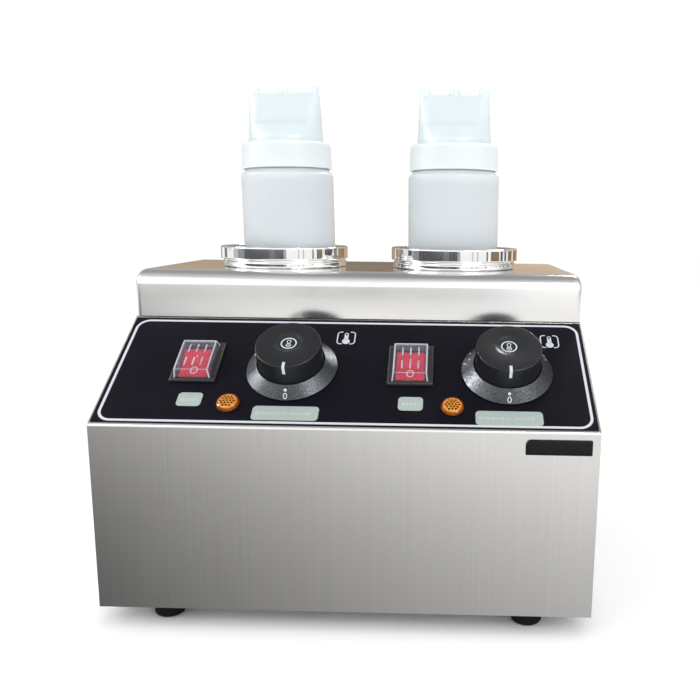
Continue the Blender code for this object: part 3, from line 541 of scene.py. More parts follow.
def control_cutters():
    """Holes for the controls, in the panel's axes."""
    half_x, half_v, reach = 11.3, 15.3, 6
    middle = SWITCH_V + BODY_V
    cutters = []
    for side in SIDES:
        x = SWITCH_X[side]
        cutters += [box((x - half_x, middle - half_v, -reach), (x + half_x, middle + half_v, reach)),
                    offset(prism(circle(5.9, 32), -reach, reach), LAMP_X[side], LAMP_V),
                    offset(prism(circle(5.0, 32), -reach, reach), KNOB_X[side], KNOB_V)]
    return joined(cutters)


def make_front():
    """Front face and control slope from one folded sheet."""
    run = SLOPE_RUN + INSET + 2.0
    rise = FRONT_HEIGHT + run * math.tan(SLOPE)
    outline = bent_sheet([(0, 0), (0, FRONT_HEIGHT), (run, rise), (run, rise + 14.0)], 2.5, SHEET)
    outline = [(FRONT_Y + y, BOTTOM_Z + z) for y, z in outline]
    front = solid("front_shell", prism(outline, -WIDTH / 2, WIDTH / 2, "X"))
    boolean(front, control_cutters(), PANEL)
    notches = []
    for sign in (-1, 1):
        near, far = sorted((sign * (WIDTH / 2 - 8.0), sign * WIDTH))
        notches.append(box((near, FRONT_Y + SLOPE_RUN + 0.6, HOOD_BOTTOM_Z - 0.2),
                           (far, FRONT_Y + SLOPE_RUN + 20.6, HOOD_BOTTOM_Z + 20)))
    boolean(front, joined(notches))
    soften(front, 0.25)
    finish(front, STEEL, "front_panel")


def hood_ring(inset, height, skin=0.0):
    """Plan outline of the hood at a height, drawn in by the inset; less at the sides."""
    share = (HOOD_SIDE_ROUND - skin) / (HOOD_ROUND - skin)
    half_x = WIDTH / 2 - skin - (inset - skin) * share
    half_y = (DEPTH - SLOPE_RUN) / 2 - inset
    middle = FRONT_Y + (SLOPE_RUN + DEPTH) / 2
    outline = rounded(half_x, half_y, HOOD_CORNER - skin / 2)
    return [(x, middle + y, height) for x, y in outline]


def screw_points():
    """Place and outward turn of each casing screw, by name."""
    spots = {}
    for side, sign in (("left", -1), ("right", 1)):
        sideways = spin(90 * sign, "Y")
        x = sign * WIDTH / 2
        for row, back in (("front", 122.0), ("back", 204.0)):
            spots[f"hood_screw_{row}_{side}"] = (x, FRONT_Y + back, HOOD_BOTTOM_Z + 8.0), sideways
        for row, back in (("front", 45.0), ("back", 190.0)):
            spots[f"base_screw_{row}_{side}"] = (x, FRONT_Y + back, BOTTOM_Z + 7.0), sideways
        for row, height in (("low", 22.0), ("middle", 92.0), ("high", 162.0)):
            spot = (sign * (WIDTH / 2 - 8.0), BACK_Y, BOTTOM_Z + height)
            spots[f"back_screw_{row}_{side}"] = spot, spin(-90, "X")
    return spots


def make_hood():
    """Drawn hood with rounded upper edges and a hole for each well."""
    outer = [hood_ring(HOOD_ROUND - x, TOP_Z - HOOD_ROUND + z)
             for x, z in arc((0, 0), HOOD_ROUND, 90, 0, 14)]
    inner = [hood_ring(HOOD_ROUND - x, TOP_Z - HOOD_ROUND + z, SHEET)
             for x, z in arc((0, 0), HOOD_ROUND - SHEET, 0, 90, 14)]
    skin = outer + [hood_ring(0, HOOD_BOTTOM_Z), hood_ring(SHEET, HOOD_BOTTOM_Z, SHEET)] + inner
    hood = solid("hood", lofted(skin))
    holes = [offset(prism(circle(WELL_RADIUS + 1.6, 96), -10, 10), WELL_X[s], WELL_Y, TOP_Z)
             for s in SIDES]
    for name, (spot, turn) in screw_points().items():
        if name.startswith("hood"):
            holes.append(placed(prism(circle(2.4, 24), -5, 5), shift(*spot) @ turn))
    boolean(hood, joined(holes))
    finish(hood, HOOD_STEEL, "top_cover", angle=40)


def make_screws():
    """Pan-head screws with a cross recess; only the hood's four are CAD nodes."""
    profile = fillet([(0, 2.2), (2.6, 2.05), (3.8, 1.0, 0.5), (3.8, 0.3), (2.0, 0.3), (2.0, -6.0),
                      (0, -6.0)], 4)
    master = solid("screw_master", turned(profile, 40))
    cross = joined([box((-1.6, -0.45, 1.1), (1.6, 0.45, 3.0)), box((-0.45, -1.6, 1.1), (0.45, 1.6, 3.0))])
    boolean(master, cross)
    for index, (name, (spot, turn)) in enumerate(screw_points().items()):
        screw = add(f"{name}_detail", master.data.copy())
        screw.data.transform(Matrix.Translation(Vector(spot) * MM) @ turn @ spin(37.0 * index, "Z"))
        nodes = [name] if name.startswith("hood") else ()
        finish(screw, SCREW_METAL, *nodes)
    bpy.data.objects.remove(master)


def make_feet():
    """Rubber feet with a rounded lower edge and a hollow underneath."""
    profile = fillet([(0, 17.5), (1.2, 17.5), (3.3, 13.0), (2.0, 13.0), (2.0, 11.7), (10.0, 11.7, 0.6),
                      (9.9, 0.0, 2.6), (3.6, 0.0, 0.5), (2.8, 2.5, 0.3), (0, 2.5)], 6)
    for row in ("front", "back"):
        for side in SIDES:
            low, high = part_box(f"foot_{row}_{side}")
            spot = (low + high) / 2 / MM
            piece(f"rubber_foot_{row}_{side}", [turned(profile, 64)], RUBBER, shift(spot.x, spot.y),
                  f"foot_{row}_{side}")


def make_badge():
    """Blank domed badge with one large round corner."""
    low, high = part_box("badge_plate")
    centre = (low + high) / 2 / MM
    half_x, half_z = (high.x - low.x) / 2 / MM, (high.z - low.z) / 2 / MM
    loops = []
    for inset, rise in ((0.0, 0.0), (0.0, 0.55), (0.25, 0.85), (0.9, 1.05), (2.2, 1.2)):
        side, end = half_x - inset, half_z - inset
        outline = fillet([(-side, -end, 0.5), (side, -end, 0.5), (side, end, 0.5),
                          (-side, end, 3.2 - inset)], 6)
        loops.append([(centre.x + x, high.y / MM - rise, centre.z + z) for x, z in outline])
    piece("badge_dome", [lofted(loops)], BADGE, shift(), "badge_plate", angle=50)


# Wells

def make_well(side):
    """Mirror-polished rim ring and the drawn pot inside it."""
    at = shift(WELL_X[side], WELL_Y, TOP_Z)
    top, outer = RING_HEIGHT, RING_RADIUS
    ring = fillet([(45.7, top, 0.15), (outer, top, 0.7), (outer, 6.2, 0.7), (outer - 2.2, 5.9, 0.2),
                   (outer - 2.2, 4.6, 0.3), (outer - 1.3, 4.2, 0.6), (outer - 1.3, 1.0, 0.7),
                   (outer - 2.2, 0.3, 0.2), (44.3, 0.3), (44.3, top - 1.3), (45.7, top - 1.3)], 5)
    piece(f"rim_{side}", [turned(ring, 128)], CHROME, at, f"rim_ring_{side}")
    floor = -WELL_DEPTH
    pot = fillet([(0, floor), (WELL_RADIUS, floor, 9.0), (WELL_RADIUS, top, 0.6), (45.4, top, 0.3),
                  (45.4, top - 1.0), (44.0, top - 1.0), (44.0, floor - 1.0, 10.0), (0, floor - 1.0)], 8)
    piece(f"pot_{side}", [turned(pot, 128)], WELL_STEEL, at, f"well_pot_{side}")


# Control panel

def on_panel(side_x, v, h=0.0):
    """World matrix of a control on the slope."""
    return PANEL @ shift(side_x, v, h)


INK = (0.0, 0.06)


def make_print():
    """White border, label pads, their greeked lettering and the thermometer pictograms."""
    on_film = on_panel(0, 0, FILM_TOP + 0.01)
    half_x, low, high = 151.6, 2.8, 96.0
    half_v = (high - low) / 2
    middle = (0, (low + high) / 2)
    corner, line = 9.0, 1.7
    border = frame_strip(rounded(half_x, half_v, corner, 12, middle),
                         rounded(half_x - line, half_v - line, corner - line, 12, middle), *INK)
    piece("print_border", [border], PRINT, on_film)
    for side in SIDES:
        power_x, power_v = POWER_PAD[side]
        dial_x, dial_v = DIAL_PAD[side]
        pads = [prism(rounded(7.7, 5.7, 2.6, 6, (power_x, power_v)), *INK),
                prism(rounded(20.5, 5.75, 2.6, 6, (dial_x, dial_v)), *INK)]
        piece(f"print_pads_{side}", pads, LABEL, on_film)
        words = []
        for start, v, lengths in ((power_x - 5.2, power_v - 0.2, (1.7, 1.3, 2.0, 1.2, 1.0)),
                                  (dial_x - 18.3, dial_v - 0.2, (1.6, 1.2, 2.4, 1.4, 1.2, 1.0, 1.6, 1.1,
                                                                 1.4, 0, 1.7, 1.2, 0.7, 1.2, 1.5, 1.6))):
            x = start
            for i, length in enumerate(lengths):
                if length:
                    half = 1.25 if i % 3 == 0 else 0.95
                    letter = rounded(length / 2, half, 0.35, 2, (x + length / 2, v))
                    words.append(prism(letter, INK[1], INK[1] + 0.03))
                x += (length or 1.2) + 0.75
        piece(f"print_words_{side}", words, LETTERING, on_film)
        piece(f"print_thermometer_{side}", thermometer(*PICTOGRAM[side], 1.05), PRINT, on_film)


def thermometer(x, v, scale):
    """Thermometer in a square bracket that is open above and below."""
    def at(points):
        return [(x + a * scale, v + b * scale) for a, b in points]
    parts = []
    for sign in (-1, 1):
        corner = [(sign * 2.4, 5.6), *[(sign * a, b) for a, b in arc((3.4, 3.4), 2.2, 90, 0, 5)],
                  *[(sign * a, b) for a, b in arc((3.4, -3.4), 2.2, 0, -90, 5)], (sign * 2.4, -5.6)]
        parts.append(stroke(at(corner), 0.75 * scale, *INK))
    stem = [(-1.0, -1.4), (-1.0, 3.6), *arc((0, 3.6), 1.0, 180, 0, 6), (1.0, -1.4)]
    parts.append(stroke(at(stem), 0.6 * scale, *INK))
    parts.append(prism(at(circle(2.5, 20, (0, -3.2))), *INK))
    parts.append(stroke(at([(0, -2.0), (0, 2.5)]), 1.6 * scale, *INK))
    return parts


def make_knob(side):
    """Knob with a dished top, white ring, pictogram and pointer, hung on the knob's own body."""
    at = on_panel(KNOB_X[side], KNOB_V)
    top, grip = KNOB_TOP, KNOB_RADIUS
    dish_v, dish = 2.0, top - 1.2
    profile = fillet([(0, top), (grip, top, 0.7), (grip + 0.4, 3.0, 0.3), (grip - 1.6, 3.0),
                      (grip - 2.0, top - 3.0), (6.4, top - 3.0), (6.4, 3.4), (3.2, 3.4), (3.2, 15.0),
                      (0, 15.0)], 6)
    knob = solid(f"knob_body_{side}", turned(profile, 128), at)
    hollow = fillet([(0, dish), (6.0, dish, 5.0), (9.2, top + 0.05, 1.5), (10.5, top + 0.06),
                     (10.5, top + 3.0), (0, top + 3.0)], 6)
    boolean(knob, offset(turned(hollow, 96), 0, dish_v), at)
    finish(knob, KNOB_BLACK, f"knob_{side}", body=f"{side}_knob", angle=40)
    ink = (dish, dish + 0.08)
    neck = stroke([(-0.5, -0.2), (-1.1, 1.5), *arc((0, 1.9), 1.2, 170, 10, 8), (1.1, 1.5), (0.5, -0.2)],
                  0.5, *ink)
    bulb = frame_strip(circle(1.7, 24, (0, -1.8)), circle(1.15, 24, (0, -1.8)), *ink)
    drop = prism(circle(0.5, 12, (0, -1.8)), *ink)
    ring = frame_strip(circle(5.1, 48), circle(4.25, 48), *ink)
    marks = [offset(mark, 0, dish_v) for mark in (ring, neck, bulb, drop)]
    # the pointer lies on the top face, goes over the rounded edge and down the side
    path = [(16.2, top), (19.9, top), *[(19.95 + a, b) for a, b in arc((0, top - 0.75), 0.75, 90, 0, 4)],
            (grip + 0.13, top - 6.0)]
    outline = path + [(r + 0.07, h + 0.05) for r, h in reversed(path)]
    marks.append(prism([(-r, h) for r, h in outline], -0.9, 0.9, "X"))
    piece(f"knob_marks_{side}", marks, PRINT, at, body=f"{side}_knob", slot="knob_black")


SKIRT_EDGE = (SKIRT_RADIUS - 0.2, 1.9)
SKIRT_LIP = (22.0, 7.9)


def skirt_height(radius):
    """Height of the skirt's cone at a radius."""
    share = (SKIRT_EDGE[0] - radius) / (SKIRT_EDGE[0] - SKIRT_LIP[0])
    return SKIRT_EDGE[1] + share * (SKIRT_LIP[1] - SKIRT_EDGE[1])


def make_skirt(side):
    """Conical dial skirt with its printed zero, dots and ticks."""
    at = on_panel(KNOB_X[side], KNOB_V)
    lip, rise = SKIRT_LIP
    profile = fillet([(SKIRT_RADIUS, 0.9, 0.2), (SKIRT_RADIUS, 1.8, 0.3), (lip, rise, 0.25),
                      (lip - 0.4, rise, 0.15), (lip - 0.4, 2.2), (4.7, 2.2), (4.7, 0.9)], 4)
    piece(f"dial_skirt_{side}", [turned(profile, 128)], SKIRT_BLACK, at, f"knob_skirt_{side}")
    tilt = math.atan2(rise - SKIRT_EDGE[1], SKIRT_EDGE[0] - lip)
    marks = []

    def on_cone(bm, angle, radius):
        """A flat mark, drawn with +Y towards the knob, laid on the cone."""
        turn = spin(angle + 90, "Z")
        lie = shift(0, -radius, skirt_height(radius) + 0.02) @ Matrix.Rotation(tilt, 4, "X")
        marks.append(placed(bm, turn @ lie))

    def dot(angle, radius, size):
        on_cone(prism(circle(size, 20), *INK), angle, radius)

    dot(-90, 24.4, 0.95)
    zero = [(1.05 * x, 1.7 * y) for x, y in circle(1.0, 20)]
    on_cone(stroke(zero, 0.55, *INK, closed=True), -90, 27.2)
    if side == "left":
        on_cone(stroke([(-2.2, -2.6), (1.6, 2.4)], 0.9, *INK), 163, 25.9)
        dot(27, 26.2, 0.6)
        dot(12, 25.6, 0.7)
    else:
        on_cone(stroke([(-1.6, -1.6), (1.3, 1.8)], 0.8, *INK), 30, 27.0)
        dot(18, 26.6, 0.6)
        dot(150, 27.2, 0.6)
        dot(166, 25.0, 0.7)
        on_cone(stroke([(-1.2, -1.3), (1.2, 1.3)], 0.6, *INK), 172, 27.4)
    for angle in (60, 90, 120):
        dot(angle, 25.6, 0.6)
    piece(f"skirt_marks_{side}", marks, PRINT, at, slot="skirt_black")


def make_switch(side):
    """Framed housing, red rocker with its marks, and the clear cover with raised dashes."""
    at = on_panel(SWITCH_X[side], SWITCH_V)
    bezel = lofted([[(x, y, h) for x, y in rounded(14.8 - i, 17.9 - i, 0.8, 4)]
                    for i, h in ((0.0, 0.9), (0.0, 1.9), (0.3, 2.6), (0.8, 3.0))])
    housing = solid(f"switch_frame_{side}", bezel, at)
    boolean(housing, box((-11, BODY_V - 15, -22), (11, BODY_V + 15, 1.9)), at, "UNION")
    boolean(housing, box((-9.45, ROCKER_V - 12.3, -8), (9.45, ROCKER_V + 12.3, 6)), at)
    pin = prism([(ROCKER_V + v, 0.5 + h) for v, h in circle(1.5, 24)], -10.4, 10.4, "X")
    boolean(housing, pin, at)
    soften(housing, 0.25)
    finish(housing, SWITCH_BLACK, f"switch_housing_{side}")

    pivot = at @ shift(0, ROCKER_V, 0.5) @ spin(9.5, "X")
    end, end_h, middle_h = 11.3, 4.8, 3.1
    far = end - 1.2
    outline = fillet([(-end, end_h, 0.5), (0, middle_h, 6.0), (far, end_h, 0.5), (far, 0.3), (4.0, -3.0),
                      (-4.0, -3.0), (-end, 0.3)], 6)
    rocker = solid(f"rocker_key_{side}", prism(outline, -9.15, 9.15, "X"), pivot)
    boolean(rocker, prism(circle(1.2, 24), -10.1, 10.1, "X"), pivot, "UNION")
    soften(rocker, 0.35, 3)
    finish(rocker, ROCKER_RED, f"rocker_{side}", body=f"{side}_rocker")
    marks = []
    ring = stroke([(2.1 * x, 2.6 * y) for x, y in circle(1.0, 28)], 0.75, *INK, closed=True)
    dash = stroke([(0, -2.5), (0, 2.5)], 0.8, *INK)
    for sign, mark in ((-1, ring), (1, dash)):
        slope = math.atan2(sign * (end_h - middle_h), end)
        lie = shift(0, sign * 6.3, middle_h + 6.3 * (end_h - middle_h) / end + 0.04)
        marks.append(placed(mark, lie @ Matrix.Rotation(slope, 4, "X")))
    piece(f"rocker_marks_{side}", marks, PRINT, pivot, body=f"{side}_rocker", slot="rocker_red")
    make_cover(side, at @ shift(0, COVER_V, 0))


def make_cover(side, at):
    """Clear cover with painted highlights along its edges and six raised dashes on its top."""
    shell = [(10.9, 13.5, 9.0, 1.2), (11.3, 14.5, 6.2, 1.2), (11.7, 15.5, 3.3, 1.2),
             (10.9, 14.7, 3.3, 0.9), (10.6, 13.8, 6.0, 0.9), (10.2, 12.7, 8.2, 0.9)]
    loops = [[(x, y, h) for x, y in rounded(sx, sy, r, 5)] for sx, sy, h, r in shell]
    cover = solid(f"clear_cover_{side}", lofted(loops), at)
    soften(cover, 0.4, 3, 25)
    finish(cover, COVER, f"splash_cover_{side}", angle=40)
    dashes = [prism(rounded(0.48, 3.7, 0.45, 4, (x, v)), 8.97, 9.0)
              for x in (-5.2, 0.0, 5.2) for v in (-6.0, 6.1)]
    piece(f"cover_dashes_{side}", dashes, PRINT, at, slot="cover_clear")
    # painted reflection: a pale purple veil on the inside of the side and far walls
    walls = stroke([(-10.0, -8.5), (-10.0, 12.3), (10.0, 12.3), (10.0, -8.5)], 0.2, 3.5, 8.1)
    piece(f"cover_wall_sheen_{side}", [walls], WALL_SHEEN, at)
    # painted highlights along the edges: the side and far edges are thick and bright, the near one is
    # thin
    outer = rounded(10.9, 13.5, 1.2, 5)
    inner = [(x, y - 0.45) for x, y in rounded(9.9, 12.8, 0.9, 5)]
    edges = [frame_strip(outer, inner, 8.93, 9.0)]
    for sign_x in (-1, 1):
        for sign_y in (-1, 1):
            path = [(sign_x * (x - 0.5), sign_y * (y - 0.5), h) for x, y, h, _ in shell[:3]]
            edges.append(lofted([rounded_bar(point, 0.45) for point in path]))
    piece(f"cover_edge_highlights_{side}", edges, EDGE_HIGHLIGHT, at)


def rounded_bar(centre, half):
    """Level square section with cut corners round a point."""
    corners = rounded(half, half, half * 0.4, 1)
    return [(centre[0] + x, centre[1] + y, centre[2]) for x, y in corners]


def make_lamp(side):
    """Pilot lamp: clear rim round a domed lens with staggered dimples whose floors carry painted shade.
    """
    at = on_panel(LAMP_X[side], LAMP_V)
    profile = fillet([(5.9, 2.4), (6.1, 3.2, 0.4), (6.6, 2.9, 0.5), (7.1, 1.6, 0.5), (7.1, 0.9, 0.2),
                      (5.5, 0.9), (5.5, -4.0), (0, -4.0), (0, 2.4)], 4)
    piece(f"lamp_rim_{side}", [turned(profile, 64)], AMBER_RIM, at, f"indicator_lens_{side}")
    dome = [(0, 4.1), (3.0, 3.85), (5.0, 3.35), (5.8, 2.9), (5.8, 2.3), (0, 2.3)]
    lens = solid(f"lamp_lens_{side}", turned(dome, 64), at)
    pits, floors, pitch = [], [], 2.05
    for row in range(-2, 3):
        for column in range(-3, 4):
            x, y = (column + 0.5 * (row % 2)) * pitch, row * pitch * 0.866
            if math.hypot(x, y) < 5.1:
                low = 3.75 - (x * x + y * y) * 0.028
                pits.append(offset(turned([(0, low), (0.78, low), (0.88, 4.4), (0, 4.4)], 16), x, y))
                # a dark disc at each pit's floor paints the shade in the dimple
                floor = [(0, low + 0.1), (0.82, low + 0.02), (0.82, low - 0.1), (0, low - 0.1)]
                floors.append(offset(turned(floor, 16), x, y))
    boolean(lens, joined(pits), at)
    finish(lens, AMBER, angle=30)
    piece(f"lamp_dimple_shade_{side}", floors, DIMPLE_SHADE, at)


# Cable gland and plates

def make_gland():
    """Threaded gland body and its fluted clamping cap."""
    at = shift(95.0, BACK_Y, 50.0) @ spin(-90, "X")
    body = [(4.0, 12.0), (6.6, 12.0), (6.6, 4.6), (10.0, 4.6), (10.0, 0.3), (7.8, 0.3), (7.8, -11.0),
            (4.0, -11.0)]

    def hexagon(angle, index):
        """Flats on the two outermost rings."""
        if index not in (3, 4):
            return 1.0
        swing = (angle + math.pi / 6) % (math.pi / 3) - math.pi / 6
        return min(1.0, 0.9 / math.cos(swing))

    piece("gland_thread", [turned(body, 72, hexagon)], NYLON, at, "gland_body", angle=25)
    cap = fillet([(4.0, 20.0, 0.4), (6.0, 20.0, 0.8), (8.6, 16.5, 1.0), (9.2, 14.0, 0.6), (9.2, 4.9, 0.4),
                  (6.9, 4.9), (6.9, 12.3), (4.0, 12.3)], 3)

    def fluted(angle, index):
        """Grip ribs on the outer rings."""
        return 1.0 - 0.035 * (0.5 - 0.5 * math.cos(angle * 18)) * (cap[index][0] > 8.0)

    piece("gland_clamp", [turned(cap, 144, fluted)], NYLON, at, "gland_cap", angle=45)


def make_rating_plate():
    """Blank rating plate: embossed frame, blank rows and a rivet at each end."""
    low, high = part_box("rating_plate")
    centre = (low + high) / 2 / MM
    at = shift(centre.x, high.y / MM, centre.z) @ spin(-90, "X")
    parts = [prism(rounded(27.4, 0.18, 0.1, 1, (0, v)), -0.05, 0.05) for v in (-9.0, -3.0, 3.0, 9.0)]
    parts.append(frame_strip(rounded(28.0, 15.5, 1.2, 4), rounded(27.4, 14.9, 0.9, 4), -0.05, 0.06))
    piece("rating_lines", parts, SWITCH_BLACK, at)
    rivet = fillet([(0, 1.0), (1.6, 0.7, 0.5), (1.9, -0.05), (0, -0.05)], 4)
    rivets = [offset(turned(rivet, 24), x) for x in (-29.8, 29.8)]
    piece("rating_rivets", rivets, SCREW_METAL, at)


# Bottles

def head_section(half_x, half_y, height, recess=0.0, steps=144):
    """Superellipse section whose front and back are set in between two side columns."""
    power = 2.0 + 1.6 * (1.0 - half_y / half_x)
    ring = []
    for x, y in circle(1.0, steps):
        length = (abs(x) ** power + abs(y) ** power) ** (-1.0 / power)
        px, py = half_x * x * length, half_y * y * length
        edge = min(1.0, max(0.0, (19.0 - abs(px)) / 1.8))
        py -= math.copysign(0.75 * recess * edge * edge * (3 - 2 * edge), py)
        ring.append((px, py, height))
    return ring


def make_bottle(side):
    """Squeeze bottle with its neck thread, screw collar and nozzle head."""
    at = shift(*BOTTLE_BASE[side]) @ spin(BOTTLE_LEAN[side], "Y")
    body = fillet([(0, 1.2), (22.5, 0.6, 2.0), (34.5, 0.0, 6.0), (34.5, 190.4, 1.5), (31.6, 193.1, 0.8),
                   (31.5, 193.8, 0.2), (30.2, 194.0), (30.2, 209.3, 0.4), (28.8, 209.3, 0.4),
                   (28.8, 188.3, 1.5), (33.3, 185.7, 2.0), (33.3, 7.0, 5.0), (28.3, 2.2, 2.0), (0, 2.6)],
                  7)
    piece(f"bottle_wall_{side}", [turned(body, 128)], BOTTLE, at, f"bottle_{side}",
          body=f"{side}_bottle", angle=50)
    make_thread(side, at)
    collar = fillet([(28.1, 213.7, 0.2), (33.0, 213.7, 3.2), (33.6, 194.6, 0.6), (31.7, 194.6, 0.3),
                     (31.7, 211.1), (28.1, 211.1)], 8)
    piece(f"collar_{side}", [turned(collar, 128)], COLLAR, at, f"cap_collar_{side}",
          body=f"{side}_collar", angle=50)
    make_nozzle(side, at)


def make_thread(side, at):
    """Raised neck thread that fades in and out."""
    steps, fade_steps = 72, 14.0
    last = 2 * steps
    root, start, pitch = 30.0, 196.4, 5.2
    loops = []
    for k in range(last + 1):
        angle = 2 * math.pi * k / steps
        crest = root + 1.15 * min(1.0, k / fade_steps, (last - k) / fade_steps) + 0.05
        height = start + pitch * k / steps
        section = ((root, -1.1), (crest, -0.35), (crest, 0.35), (root, 1.1))
        loops.append([(r * math.cos(angle), r * math.sin(angle), height + dz) for r, dz in section])
    piece(f"bottle_thread_{side}", [lofted(loops)], BOTTLE, at, body=f"{side}_bottle", angle=60)


def make_nozzle(side, at):
    """Nozzle head with three tips, bored through."""
    outer = [(25.6, 4.4, 249.8, 0.6), (26.0, 5.4, 249.2, 0.9), (26.2, 7.4, 245.5, 1.0),
             (26.5, 10.4, 240.0, 1.0), (26.8, 13.4, 234.5, 1.1), (27.0, 16.4, 230.0, 1.1),
             (27.05, 18.6, 227.4, 1.0), (27.1, 20.4, 226.0, 0.2), (27.15, 21.0, 225.4),
             (27.4, 24.4, 221.4), (27.7, 27.0, 218.0), (27.8, 27.8, 216.5),
             (27.8, 27.8, 210.9), (31.1, 31.1, 210.8), (31.1, 31.1, 209.6)]
    inner = [(25.8, 25.8, 209.6), (25.8, 25.8, 216.5), (25.4, 18.0, 225.0),
             (25.1, 11.5, 232.0), (24.0, 3.4, 247.6)]
    shell = lofted([head_section(*row) for row in outer + inner])
    head = solid(f"nozzle_{side}", shell, at)
    rows = [(5.4, 4.6, 248.6), (5.2, 4.6, 249.7), (4.5, 4.2, 250.8), (4.0, 3.9, 252.3),
            (3.7, 3.7, 253.8), (3.3, 3.3, 254.4)]
    spacing, room = 22.0, 4.0
    tips, bores = [], []
    for x in (-spacing, 0.0, spacing):
        # the outer tips are cut short on their outward side
        tips.append(lofted([[(x + (min(rx, room) if x * a > 0 else rx) * a, ry * b, z)
                             for a, b in circle(1.0, 40)] for rx, ry, z in rows]))
        bores.append(offset(prism(circle(1.6, 24), 245.8, 257.0), x))
    boolean(head, joined(tips), at, "UNION")
    boolean(head, joined(bores), at)
    finish(head, CAP, f"nozzle_head_{side}", body=f"{side}_nozzle", angle=50)


# Carried-over nodes

def paint_cad():
    """Materials for the CAD nodes that are shown as they are."""
    for side in SIDES:
        for node, material, bevel in (("side_panel", STEEL, 0.2), ("seam_bracket", ZINC, 0),
                                      ("heater_band", MICA, 0), ("insulation", LAGGING, 0),
                                      ("thermal_cutout", PHENOLIC, 0), ("sensor_bulb", COPPER, 0),
                                      ("thermostat_spindle", SCREW_METAL, 0),
                                      ("indicator_body", SWITCH_BLACK, 0)):
            paint(f"{node}_{side}", material, bevel)
        paint(f"thermostat_body_{side}", ZINC, 0.5)
    for node, material, bevel in (("back_panel", STEEL, 0.15), ("base_plate", ZINC, 0.15),
                                  ("control_overlay", FILM, 0), ("gland_nut", NYLON, 0.4),
                                  ("rating_plate", ZINC, 0.1), ("terminal_block", TERMINAL, 0.4),
                                  ("wiring_loom", WIRE, 0)):
        paint(node, material, bevel)


# Stage

def sheet(name, points, faces, material):
    """Open mesh with one material."""
    mesh = bpy.data.meshes.new(name)
    mesh.from_pydata(points, [], faces)
    mesh.materials.append(material)
    return add(name, mesh)


def emitter(name, colour, strength):
    """Plain glowing paint for a reflector card."""
    return Paint(name, (0.0, 0.0, 0.0), 0.5, Specular_IOR_Level=0.0, Emission_Color=(*colour, 1.0),
                 Emission_Strength=strength)


BROWN = (0.62, 0.44, 0.28)
GREY = (0.9, 0.92, 1.0)
WHITE = (1.0, 1.0, 1.0)


def only_reflected(thing):
    """Hide a stage object from everything but glossy rays."""
    for ray in ("camera", "diffuse", "transmission", "shadow", "volume_scatter"):
        setattr(thing, f"visible_{ray}", False)


def card(name, start, end, distance, low, high, strength, colour=GREY):
    """Upright curved card round the object, from one azimuth to another, that reflections see."""
    steps = max(1, int(abs(end - start) / 8))
    spots = arc((0, 0), distance, start - 90, end - 90, steps)
    points = [(x, y, z) for x, y in spots for z in (low, high)]
    faces = [(2 * i, 2 * i + 2, 2 * i + 3, 2 * i + 1) for i in range(steps)]
    only_reflected(sheet(name, points, faces, emitter(name, colour, strength).material))


def floor_card():
    """Glow that the front face mirrors from the floor: brighter to the right and further out."""
    near, far, side, height = -0.128, -4.0, 2.5, 0.0005
    corners = [(-side, far, height), (side, far, height), (side, near, height), (-side, near, height)]
    glow = emitter("floor_card", (1.0, 0.99, 0.975), 1.0)
    slopes = glow.node("VectorMath", operation="DOT_PRODUCT")
    slopes.inputs[1].default_value = (1.35, -1.05, 0.0)
    reach = preset(glow.node("MapRange"), From_Min=-0.07, From_Max=0.83, To_Min=0.145, To_Max=1.045)
    glow.link(glow.place, slopes.inputs[0])
    glow.link(slopes.outputs["Value"], reach.inputs["Value"])
    glow.link(reach.outputs["Result"], glow.shader.inputs["Emission Strength"])
    only_reflected(sheet("floor_card", corners, [(0, 1, 2, 3)], glow.material))


def studio_world():
    """White surroundings that are graded from horizon to ceiling where metal mirrors them."""
    world = bpy.data.worlds.new("studio")
    bpy.context.scene.world = world
    world.use_nodes = True
    tree = world.node_tree
    link = tree.links.new

    def new(kind):
        """New node of a kind."""
        return tree.nodes.new("ShaderNode" + kind)

    peak = 1.4
    plain = preset(tree.nodes["Background"], Color=(1.0, 1.0, 1.0, 1.0), Strength=1.06)
    graded = preset(new("Background"), Strength=peak)
    axes = new("SeparateXYZ")
    link(new("TexCoord").outputs["Generated"], axes.inputs[0])
    rise = new("Math")
    rise.operation = "ARCSINE"
    link(axes.outputs["Z"], rise.inputs[0])
    share = preset(new("MapRange"), From_Min=0.0, From_Max=math.pi / 2)
    link(rise.outputs[0], share.inputs["Value"])

    def ramp(levels):
        """Grey levels by elevation in degrees."""
        made = new("ValToRGB")
        elements = made.color_ramp.elements
        while len(elements) < len(levels):
            elements.new(0.5)
        for element, (degrees, level) in zip(elements, levels):
            element.position = degrees / 90
            element.color = (level / peak, level / peak, level / peak, 1.0)
        link(share.outputs["Result"], made.inputs["Fac"])
        return made.outputs["Color"]

    depth = preset(new("MapRange"), From_Min=-0.1, From_Max=0.3)
    link(axes.outputs["Y"], depth.inputs["Value"])
    mix = new("Mix")
    mix.data_type = "RGBA"
    link(depth.outputs["Result"], mix.inputs[FACTOR])
    ahead = ramp(((0, 1.35), (12, 1.33), (26, 1.25), (50, 0.82), (78, 0.38), (90, 0.32)))
    behind = ramp(((0, 0.62), (18, 0.5), (36, 0.4), (60, 0.34), (76, 0.31), (90, 0.34)))
    link(ahead, mix.inputs[FIRST])
    link(behind, mix.inputs[SECOND])
    link(mix.outputs[BLEND], graded.inputs["Color"])
    choose = new("MixShader")
    link(new("LightPath").outputs["Is Glossy Ray"], choose.inputs[0])
    link(plain.outputs[0], choose.inputs[1])
    link(graded.outputs[0], choose.inputs[2])
    link(choose.outputs[0], tree.nodes["World Output"].inputs["Surface"])


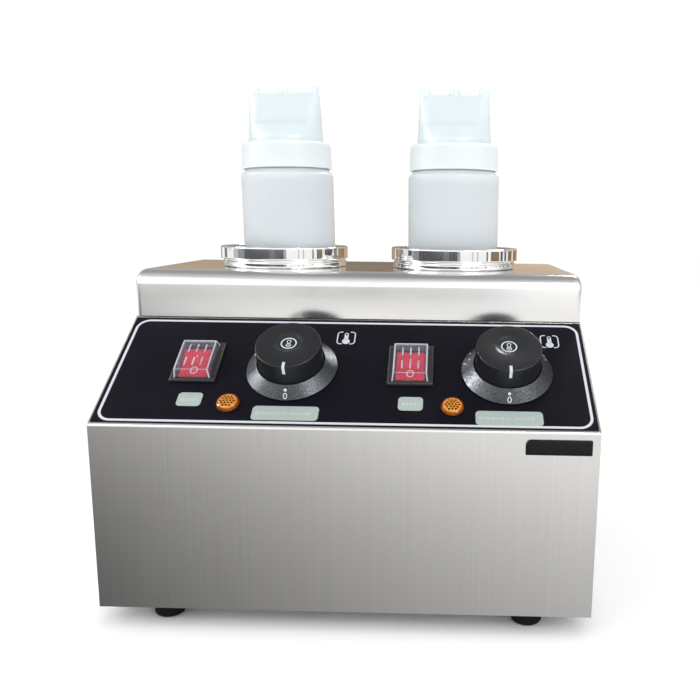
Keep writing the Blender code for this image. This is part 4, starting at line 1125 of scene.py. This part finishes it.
def make_stage():
    """Pale floor, soft light and the dim surroundings that the steel mirrors."""
    bpy.context.scene.view_settings.view_transform = "Standard"
    studio_world()
    paper = Paint("floor_paper", (0.985, 0.985, 0.985), 0.9).material
    sheet("floor", [(-6, -6, 0), (6, -6, 0), (6, 6, 0), (-6, 6, 0)], [(0, 1, 2, 3)], paper)
    floor_card()

    for name, spot, size, energy in (("key", (-0.9, -1.0, 1.0), 0.6, 2.2),
                                     ("fill", (0.9, -0.95, 0.85), 0.5, 1.6)):
        lamp = bpy.data.lights.new(name, "AREA")
        lamp.size = size
        lamp.energy = energy
        thing = add(name, lamp)
        thing.location = spot
        thing.rotation_euler = (Vector((0, 0, 0.15)) - Vector(spot)).to_track_quat("-Z", "Y").to_euler()

    # low bands that only the upright mirror rings see, by azimuth from the front
    for i, (start, end, *look) in enumerate((
            (-124, -113, 0.25), (-92, -80, 0.6), (-80, -66, 0.32), (-66, -18, 0.11), (-18, -8, 0.19),
            (-8, 7, 0.12), (7, 12, 0.45), (33, 35, 0.6), (42, 44, 0.55), (60, 63, 0.15),
            (69, 88, 0.42, BROWN), (91, 97, 0.12), (101, 107, 0.2), (112, 126, 0.4, BROWN),
            (131, 150, 0.5, BROWN))):
        card(f"band_{i}", start, end, 2.0, 0.085, 0.172, *look)
    walls = ((140, 176, 0.97), (176, 190, 0.33), (190, 220, 0.72))
    for i, (start, end, strength) in enumerate(walls):
        card(f"back_wall_{i}", start, end, 2.2, 0.0, 0.62, strength, BROWN)
    # small bright cards that draw the sheens round the dial skirts
    for place, start, end, low, strength in (("left", -90, -72, 0.7, 52.0), ("right", 24, 40, 0.95, 40.0),
                                             ("back", 138, 158, 1.1, 30.0)):
        card(f"glint_{place}", start, end, 1.2, low, low + 0.3, strength, WHITE)


def make_camera():
    """Camera at the photograph's angle and framing."""
    yaw, pitch, roll = -0.022, 0.182, 0.012
    data = bpy.data.cameras.new("camera")
    data.sensor_width = 36.0
    data.lens = 38.24
    data.shift_x = -0.105
    data.shift_y = 0.012
    camera = add("camera", data)
    aim = Matrix.Rotation(-yaw, 4, "Z") @ Matrix.Rotation(math.pi / 2 - pitch, 4, "X")
    place = shift(0.05777, -0.55575, 0.2542)
    camera.matrix_world = place @ aim @ Matrix.Rotation(roll, 4, "Z")
    bpy.context.scene.camera = camera


make_front()
make_hood()
make_screws()
make_feet()
make_badge()
make_print()
for side in SIDES:
    make_well(side)
    make_knob(side)
    make_skirt(side)
    make_switch(side)
    make_lamp(side)
    make_bottle(side)
make_gland()
make_rating_plate()
paint_cad()
make_stage()
make_camera()
